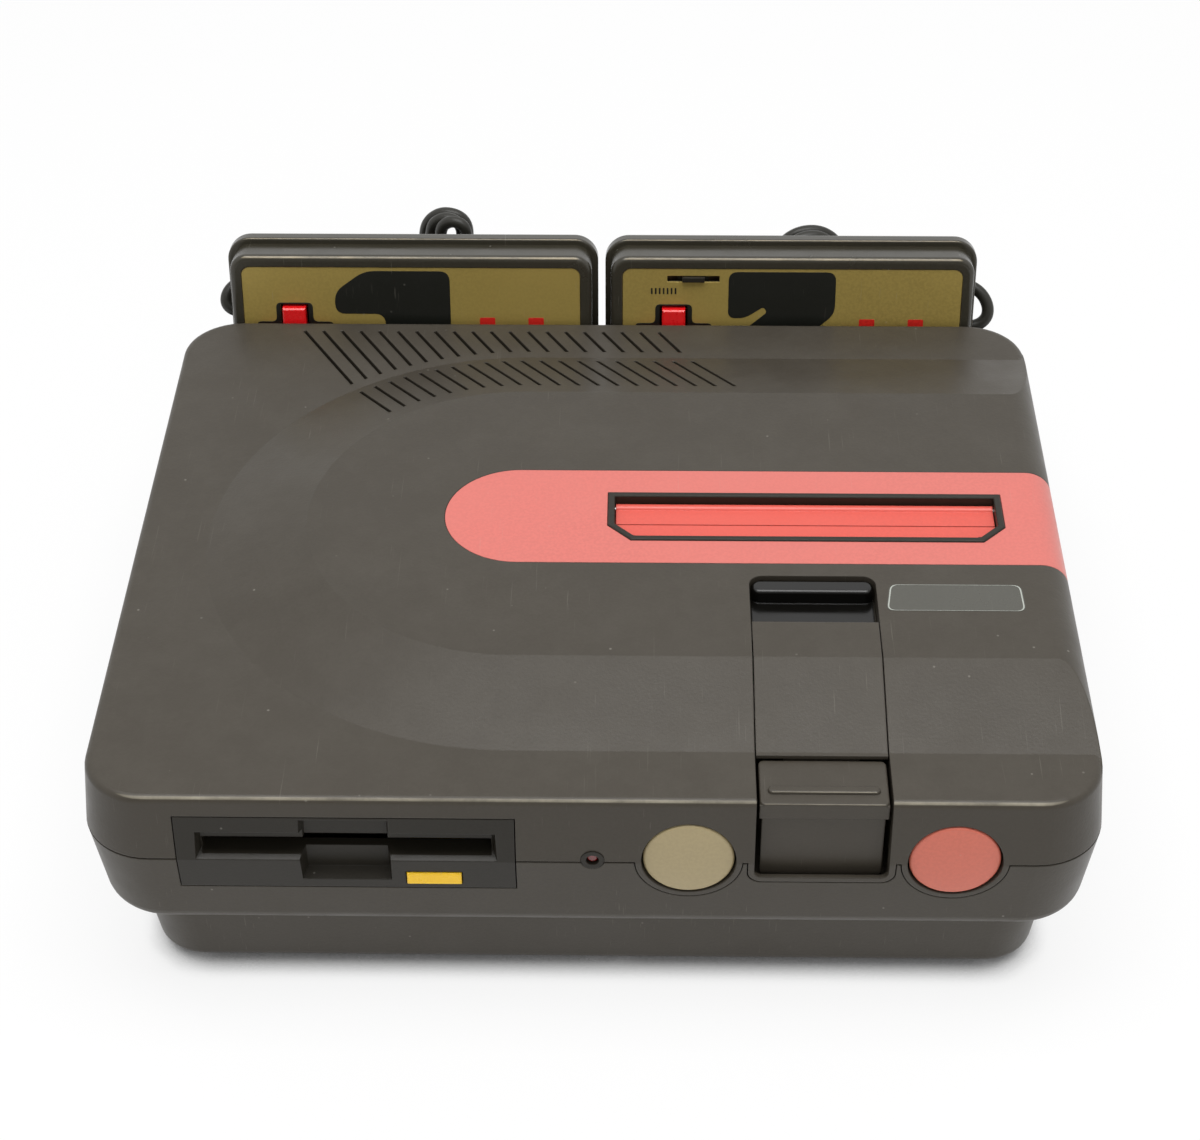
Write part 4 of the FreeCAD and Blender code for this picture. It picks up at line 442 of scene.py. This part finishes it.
LEAN = math.radians(10)
PAD_X = {"left_pad": -64.8, "right_pad": 63.1}
PAD_FRONT, PAD_LOW = 97.5, 48.5
REAR = 131.5
CORD_RADIUS = 2.1
PITCH = 5.8
EXIT_X, EXIT_V = 57.75, 14.2
JOIN_Z, JOIN_RISE, JOIN_RADIUS, GROMMET_Z = 47.0, 8.0, 6.0, 43.0
TAIL_RISE, TAIL_SEAT = 9.0, 1.0
TIE_THICKNESS, TIE_ROOM = 0.9, 0.3
HANK_Y = REAR + CORD_RADIUS + TIE_THICKNESS + 2 * TIE_ROOM
HANKS = {
    "left_pad": dict(
        side=-1, exit_w=25.5, bulge=7.5, rise_share=0.38, seed=5,
        down=[-62.0, -60.6, -57.7, -61.6, -64.4], up=[-49.4, -48.5, -50.5, -48.9, -42.4],
        tops=[80.0, 89.3, 87.1, 85.7], lows=[2.6, 3.7, 2.9, 4.3, 2.4],
        bow=[(0, 0, 0), (0.55, 0, 0), (0.97, 0.9, 1.8), (1, 2.9, 4.6), (0.7, 5.4, 7.0), (0.1, 8.2, 8.0)]),
    "right_pad": dict(
        side=1, exit_w=20.8, bulge=10.7, rise_share=0.5, seed=9,
        down=[80.6, 79.4, 81.2, 80.8, 83.2], up=[61.8, 60.4, 62.6, 60.1, 54.0],
        tops=[72.0, 76.0, 80.3, 78.9], lows=[2.4, 3.9, 2.8, 4.7, 3.1],
        bow=[(0, 0, 0), (0.52, 0, 0), (0.95, 1.0, 2.6), (1, 3.4, 6.8), (0.7, 6.4, 11.0), (0.1, 9.2, 12.6)]),
}
# The lead's fall from its bow to the hank: share of the way across and of the way down
FALL = [(0.16, 0.02), (0.37, 0.09), (0.58, 0.22), (0.77, 0.42), (0.91, 0.68), (1.0, 1.0)]
# Share of a fold's radius that a run's end point keeps from the fold
FOLD_LEAD = 0.83


def pad_place(pad, x, v, w):
    """A place in a pad's own frame (across, into, up), in mm in the console's frame."""
    c, s = math.cos(LEAN), math.sin(LEAN)
    return Vector((PAD_X[pad] + x, PAD_FRONT + v * c + w * s, PAD_LOW + w * c - v * s))


def lead_route(pad):
    """From the pad's side, over its bow and down to the start of the hank."""
    h = HANKS[pad]
    exit_point = pad_place(pad, h["side"] * EXIT_X, EXIT_V, h["exit_w"])
    out = h["side"] * h["bulge"]
    points = [exit_point + Vector((out * share, back, up)) for share, back, up in h["bow"]]
    last, end = points[-1], Vector((h["down"][0], HANK_Y, JOIN_Z + JOIN_RISE))
    way = end - last
    for across, down in FALL:
        points.append(last + Vector((way.x * across, way.y * across, way.z * down)))
    return points + [Vector((end.x, end.y, JOIN_Z))]


def turn_over(points, spot, to_x, extreme_z, share, up):
    """Corners round two quarter circles, from the run at the spot over to the next run."""
    across = Vector((to_x - spot.x, PITCH / 2, 0))
    first, second = across.length * share, across.length * (1 - share)
    across.normalize()
    crown = spot + across * first
    grow = 1 / math.cos(math.pi / 8)
    for radius, way, angles in ((first, -1, (22.5, 67.5)), (second, 1, (67.5, 22.5))):
        centre = Vector((crown.x, crown.y, extreme_z - up * radius))
        for degrees in angles:
            a = math.radians(degrees)
            arm = across * (way * math.cos(a)) + Vector((0, 0, up * math.sin(a)))
            points.append(centre + arm * radius * grow)
    return Vector((*(crown + across * second).xy, extreme_z - up * second))


def run_along(points, spot, end_z, near, far, rnd):
    """Points along an upright run, a little off the straight, with one close to each fold.

    near and far are the radii of the folds at its start and end.
    """
    way = 1 if end_z > spot.z else -1
    low, high = spot.z + way * FOLD_LEAD * near, end_z - way * FOLD_LEAD * far
    for share, sway in ((0, 0), (0.35, 0.5), (0.68, 0.5), (1, 0)):
        points.append(Vector((spot.x + rnd.uniform(-sway, sway), spot.y, low + (high - low) * share)))


def hank_route(pad):
    """Runs down and up between the folds; returns the points and the last run's start."""
    h = HANKS[pad]
    rnd = random.Random(h["seed"])
    points, spot, near = [], Vector((h["down"][0], HANK_Y, JOIN_Z)), JOIN_RADIUS
    for i, up_x in enumerate(h["up"]):
        radius = math.hypot(up_x - spot.x, PITCH / 2) / 2
        run_along(points, spot, h["lows"][i] + radius, near, radius, rnd)
        spot = turn_over(points, spot, up_x, h["lows"][i], 0.5, -1)
        if i == len(h["tops"]):
            return points, spot
        next_x = h["down"][i + 1]
        span = math.hypot(next_x - spot.x, PITCH / 2)
        rise = span * h["rise_share"]
        run_along(points, spot, h["tops"][i] - rise, radius, rise, rnd)
        spot = turn_over(points, spot, next_x, h["tops"][i], h["rise_share"], 1)
        near = span - rise


def tail_route(spot):
    """Up from the last fold and forward into the rear wall's bush."""
    slant = (spot.y - REAR + TAIL_SEAT) / (1 + math.sqrt(2))
    bend_z = GROMMET_Z - slant
    return [Vector((spot.x, spot.y, bend_z - TAIL_RISE)), Vector((spot.x, spot.y, bend_z)),
            Vector((spot.x, spot.y - slant, GROMMET_Z)), Vector((spot.x, REAR - TAIL_SEAT, GROMMET_Z))]


def make_cord(pad, ties):
    """One unbroken cord for a pad, in place of its three plain tubes."""
    hank, spot = hank_route(pad)
    route = [p * MM for p in lead_route(pad) + hank + tail_route(spot)]
    path = nurbs_path(pad + "_cord", route)
    cord = tube(pad + "_cord", path, CORD_RADIUS * MM, M["soft_rubber"])
    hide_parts(pad + "_cord_lead", pad + "_cord_hank", pad + "_cord_tail")
    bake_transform(cord)


# Paper-covered wire ties round the hanks

TIE_DROP, TIE_HALF_HEIGHT, TIE_WAVE = 6.0, 2.0, 0.5
TIE_HALF_DEPTH, TIE_CROWN, TIE_CORNER = 0.3, 0.42, 0.4
TWIST_POINTS, TWIST_STEP, TWIST_FALL = 41, 0.55, 0.3
TWIST_X, TWIST_Y, TWIST_CLEAR, WIRE_RADIUS = 0.8, 0.5, 0.55, 0.5


def tie_band(name, ring, middle_z):
    """Flat band along a closed ring of points, a little crowned outside and wavy in height."""
    profile = [(TIE_HALF_DEPTH, -TIE_HALF_HEIGHT), (TIE_CROWN, 0), (TIE_HALF_DEPTH, TIE_HALF_HEIGHT),
               (-TIE_HALF_DEPTH, TIE_HALF_HEIGHT), (-TIE_HALF_DEPTH, -TIE_HALF_HEIGHT)]
    count, across = len(ring), len(profile)
    verts, faces = [], []
    for i, (x, y) in enumerate(ring):
        ahead = Vector(ring[(i + 1) % count]) - Vector(ring[i - 1])
        out = Vector((ahead.y, -ahead.x)).normalized()
        z = middle_z + TIE_WAVE * math.sin(4 * math.pi * i / count)
        verts += [Vector((x + out.x * side, y + out.y * side, z + level)) * MM for side, level in profile]
        here, there = i * across, (i + 1) % count * across
        for k in range(across):
            q = (k + 1) % across
            faces.append((here + k, there + k, there + q, here + q))
    return mesh_object(name, verts, faces, M["tie_white"])


def tie_round(pad):
    """The band round a hank, and its two ends twisted together behind."""
    h = HANKS[pad]
    room = CORD_RADIUS + TIE_ROOM + TIE_THICKNESS / 2
    runs = h["down"] + h["up"][:-1]
    x0, x1 = min(runs) - room, max(runs) + room
    y0, y1 = HANK_Y - room, HANK_Y + PITCH * (len(h["down"]) - 1) + room
    ring = box_outline(x0, x1, y0, y1, CORD_RADIUS + TIE_CORNER, 6)
    middle_x, middle_y, middle_z = (x0 + x1) / 2, y1 + TWIST_CLEAR, JOIN_Z - TIE_DROP
    band = tie_band(pad + "_tie", ring, middle_z)
    twist = []
    for i in range(TWIST_POINTS):
        a = i * TWIST_STEP
        twist.append(Vector((middle_x + TWIST_X * math.cos(a), middle_y + TWIST_Y * math.sin(a),
                             middle_z - i * TWIST_FALL)) * MM)
    ends = tube(pad + "_tie_ends", twist, WIRE_RADIUS * MM, M["tie_white"], 8)
    for piece in (band, ends):
        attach(piece, "console")
    if pad == "left_pad":
        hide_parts("hank_ties")
    return band, ends


for pad in HANKS:
    make_cord(pad, tie_round(pad))

# Prints on the pads' plates, in each pad's X and W in mm

PLATE_V = 0.15
PRINT_HIGH, BORDER_HIGH = 0.06, 0.12
KEYS_X = (25.5, 41.9)
SQUARE_HALF, SQUARE_LOW, SQUARE_TOP = 2.6, 26.4, 29.8
DPAD_X, DPAD_W = -39.6, 21.9
# The direction pad's border: span, arm width and corner radius, outside and inside
BORDER_OUTSIDE, BORDER_INSIDE = (26.2, 12.4, 1.8), (25.2, 9.4, 0.3)
TICKS, TICK_X, TICK_STEP, TICK_WIDE = 7, -47.3, 1.33, 0.55
TICK_LOW, TICK_TOP = 38.7, 40.9
NUMERALS = {
    "left_pad": rounded([(-9.0, 8), (13.1, 8), (13.1, 46.6), (-15.5, 46.6), (-25.8, 39.0), (-25.8, 31.0),
                         (-9.0, 31.0)], 3.6),
    "right_pad": rounded([(-21.3, 8), (14.6, 8), (14.6, 15.5), (-4.0, 15.5), (14.6, 31.5), (14.6, 46.8),
                          (-21.3, 46.8), (-21.3, 30.0), (-15.6, 30.0), (-9.4, 34.2), (-8.2, 32.2),
                          (-21.3, 21.0)], 3.2),
}


def cross_outline(span, arm, radius):
    """A cross round the direction pad's middle."""
    h, a = span / 2, arm / 2
    corners = [(-a, -h), (a, -h), (a, -a), (h, -a), (h, a), (a, a),
               (a, h), (-a, h), (-a, a), (-h, a), (-h, -a), (-a, -a)]
    return rounded([(DPAD_X + x, DPAD_W + w) for x, w in corners], radius)


def on_plate(name, pad, outline, ink="print_black", hole=None, high=PRINT_HIGH):
    def place(x, w, height):
        return pad_place(pad, x, PLATE_V - height, w)

    obj = raised_print(name, place, outline, high, M[ink], hole)
    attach(obj, pad)


def pad_prints():
    for pad, numeral in NUMERALS.items():
        on_plate(pad + "_numeral", pad, numeral)
    for pad in NUMERALS:
        for x in KEYS_X:
            square = box_outline(x - SQUARE_HALF, x + SQUARE_HALF, SQUARE_LOW, SQUARE_TOP, 0.5)
            on_plate(f"{pad}_square_{round(x)}", pad, square, "print_red")
        on_plate(pad + "_dpad_border", pad, cross_outline(*BORDER_OUTSIDE),
                 hole=cross_outline(*BORDER_INSIDE), high=BORDER_HIGH)
    for i in range(TICKS):
        x = TICK_X + i * TICK_STEP
        tick = box_outline(x, x + TICK_WIDE, TICK_LOW, TICK_TOP, 0.05)
        on_plate(f"right_pad_tick_{i + 1}", "right_pad", tick)


pad_prints()

# Label on the deck, in mm

LABEL_CORNERS = [(83.3, -59.0), (123.4, -59.0), (123.1, -47.3), (85.0, -47.3)]
LABEL_CENTRE = Vector((103.6, -53.2))
DECK_TOP = 86.6
FILM_HIGH, LINE_HIGH = 0.05, 0.08


def deck_label():
    """Clear film with a thin printed outline."""
    film = rounded(LABEL_CORNERS, 2.4)

    def shrunk(share):
        return [tuple(LABEL_CENTRE + (Vector(p) - LABEL_CENTRE) * share) for p in film]

    def place(x, y, height):
        return Vector((x, y, DECK_TOP + height))

    for name, high, outline, hole in (("label_film", FILM_HIGH, film, None),
                                      ("label_line", LINE_HIGH, shrunk(0.985), shrunk(0.965))):
        obj = raised_print(name, place, outline, high, M[name], hole)
        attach(obj, "console")


deck_label()

# Floor, light and world

FLOOR_WHITE = 0.85
PAINTED_SHADOW_REACH = 0.010
PAINTED_SHADOW_RAMP = (0.35, 0.78, 0.04, 1.0)
ROOM_LIGHT, ROOM_SEEN = 0.45, 1.0
BEHIND_RAMP = (-0.85, -0.5, 0.15, 1.0)
MIDDLE = Vector((0, 0, 0.05))


def seen_directly(n):
    """1 for rays that show the background itself: from the camera, in gloss and through glass."""
    path = n.add("LightPath").outputs
    seen = n.math("MAXIMUM", path["Is Camera Ray"], path["Is Glossy Ray"])
    return n.math("MAXIMUM", seen, path["Is Transmission Ray"])


def lay_floor():
    """Pale floor that glows white where it is seen, with a painted contact shadow: the glow dims close to
    the object.
    """
    n = Material("floor")
    n.put(n.bsdf, {"Base Color": (0.95, 0.95, 0.95, 1), "Roughness": 0.6})
    # painted contact shadow: ambient occlusion dims the floor's white glow close to the object
    near = n.add("AmbientOcclusion", {"Distance": PAINTED_SHADOW_REACH}, samples=8).outputs["AO"]
    white = n.add("Emission", {"Strength": n.ramp(near, *PAINTED_SHADOW_RAMP)})
    glow = n.math("MULTIPLY", seen_directly(n), FLOOR_WHITE)
    both = n.add("MixShader", {0: glow, 1: n.bsdf.outputs[0], 2: white.outputs[0]})
    n.put(n.tree.nodes["Material Output"], {"Surface": both.outputs[0]})
    corners = [(-4, -3, 0), (4, -3, 0), (4, 5, 0), (-4, 5, 0)]
    mesh_object("floor", corners, [(0, 1, 2, 3)], n.owner, False)


def light_room():
    """Even white room, dark behind the camera, as the photograph's reflections show."""
    n = Nodes(bpy.data.worlds.new("studio"))
    scene.world = n.owner
    direction = n.add("SeparateXYZ", {0: n.add("TexCoord").outputs["Generated"]}).outputs["Y"]
    even = n.ramp(seen_directly(n), 0, 1, ROOM_LIGHT, ROOM_SEEN)
    strength = n.math("MULTIPLY", even, n.ramp(direction, *BEHIND_RAMP))
    n.put(n.tree.nodes["Background"], {"Color": (1, 1, 1, 1), "Strength": strength})


def area_light(name, place, size, power, glossy=True):
    """Soft box turned to the middle of the object, in metres and watts."""
    data = bpy.data.lights.new(name, "AREA")
    data.shape = "RECTANGLE"
    data.size, data.size_y = size
    data.energy = power
    obj = bpy.data.objects.new(name, data)
    scene.collection.objects.link(obj)
    obj.location = place
    obj.rotation_euler = (MIDDLE - Vector(place)).to_track_quat("-Z", "Y").to_euler()
    obj.visible_glossy = glossy


lay_floor()
light_room()
area_light("overhead", (0, -0.12, 1.5), (1.3, 0.8), 17)
area_light("front_fill", (0.3, -1.6, 0.9), (1.4, 0.8), 6, glossy=False)
scene.view_settings.view_transform = "Standard"
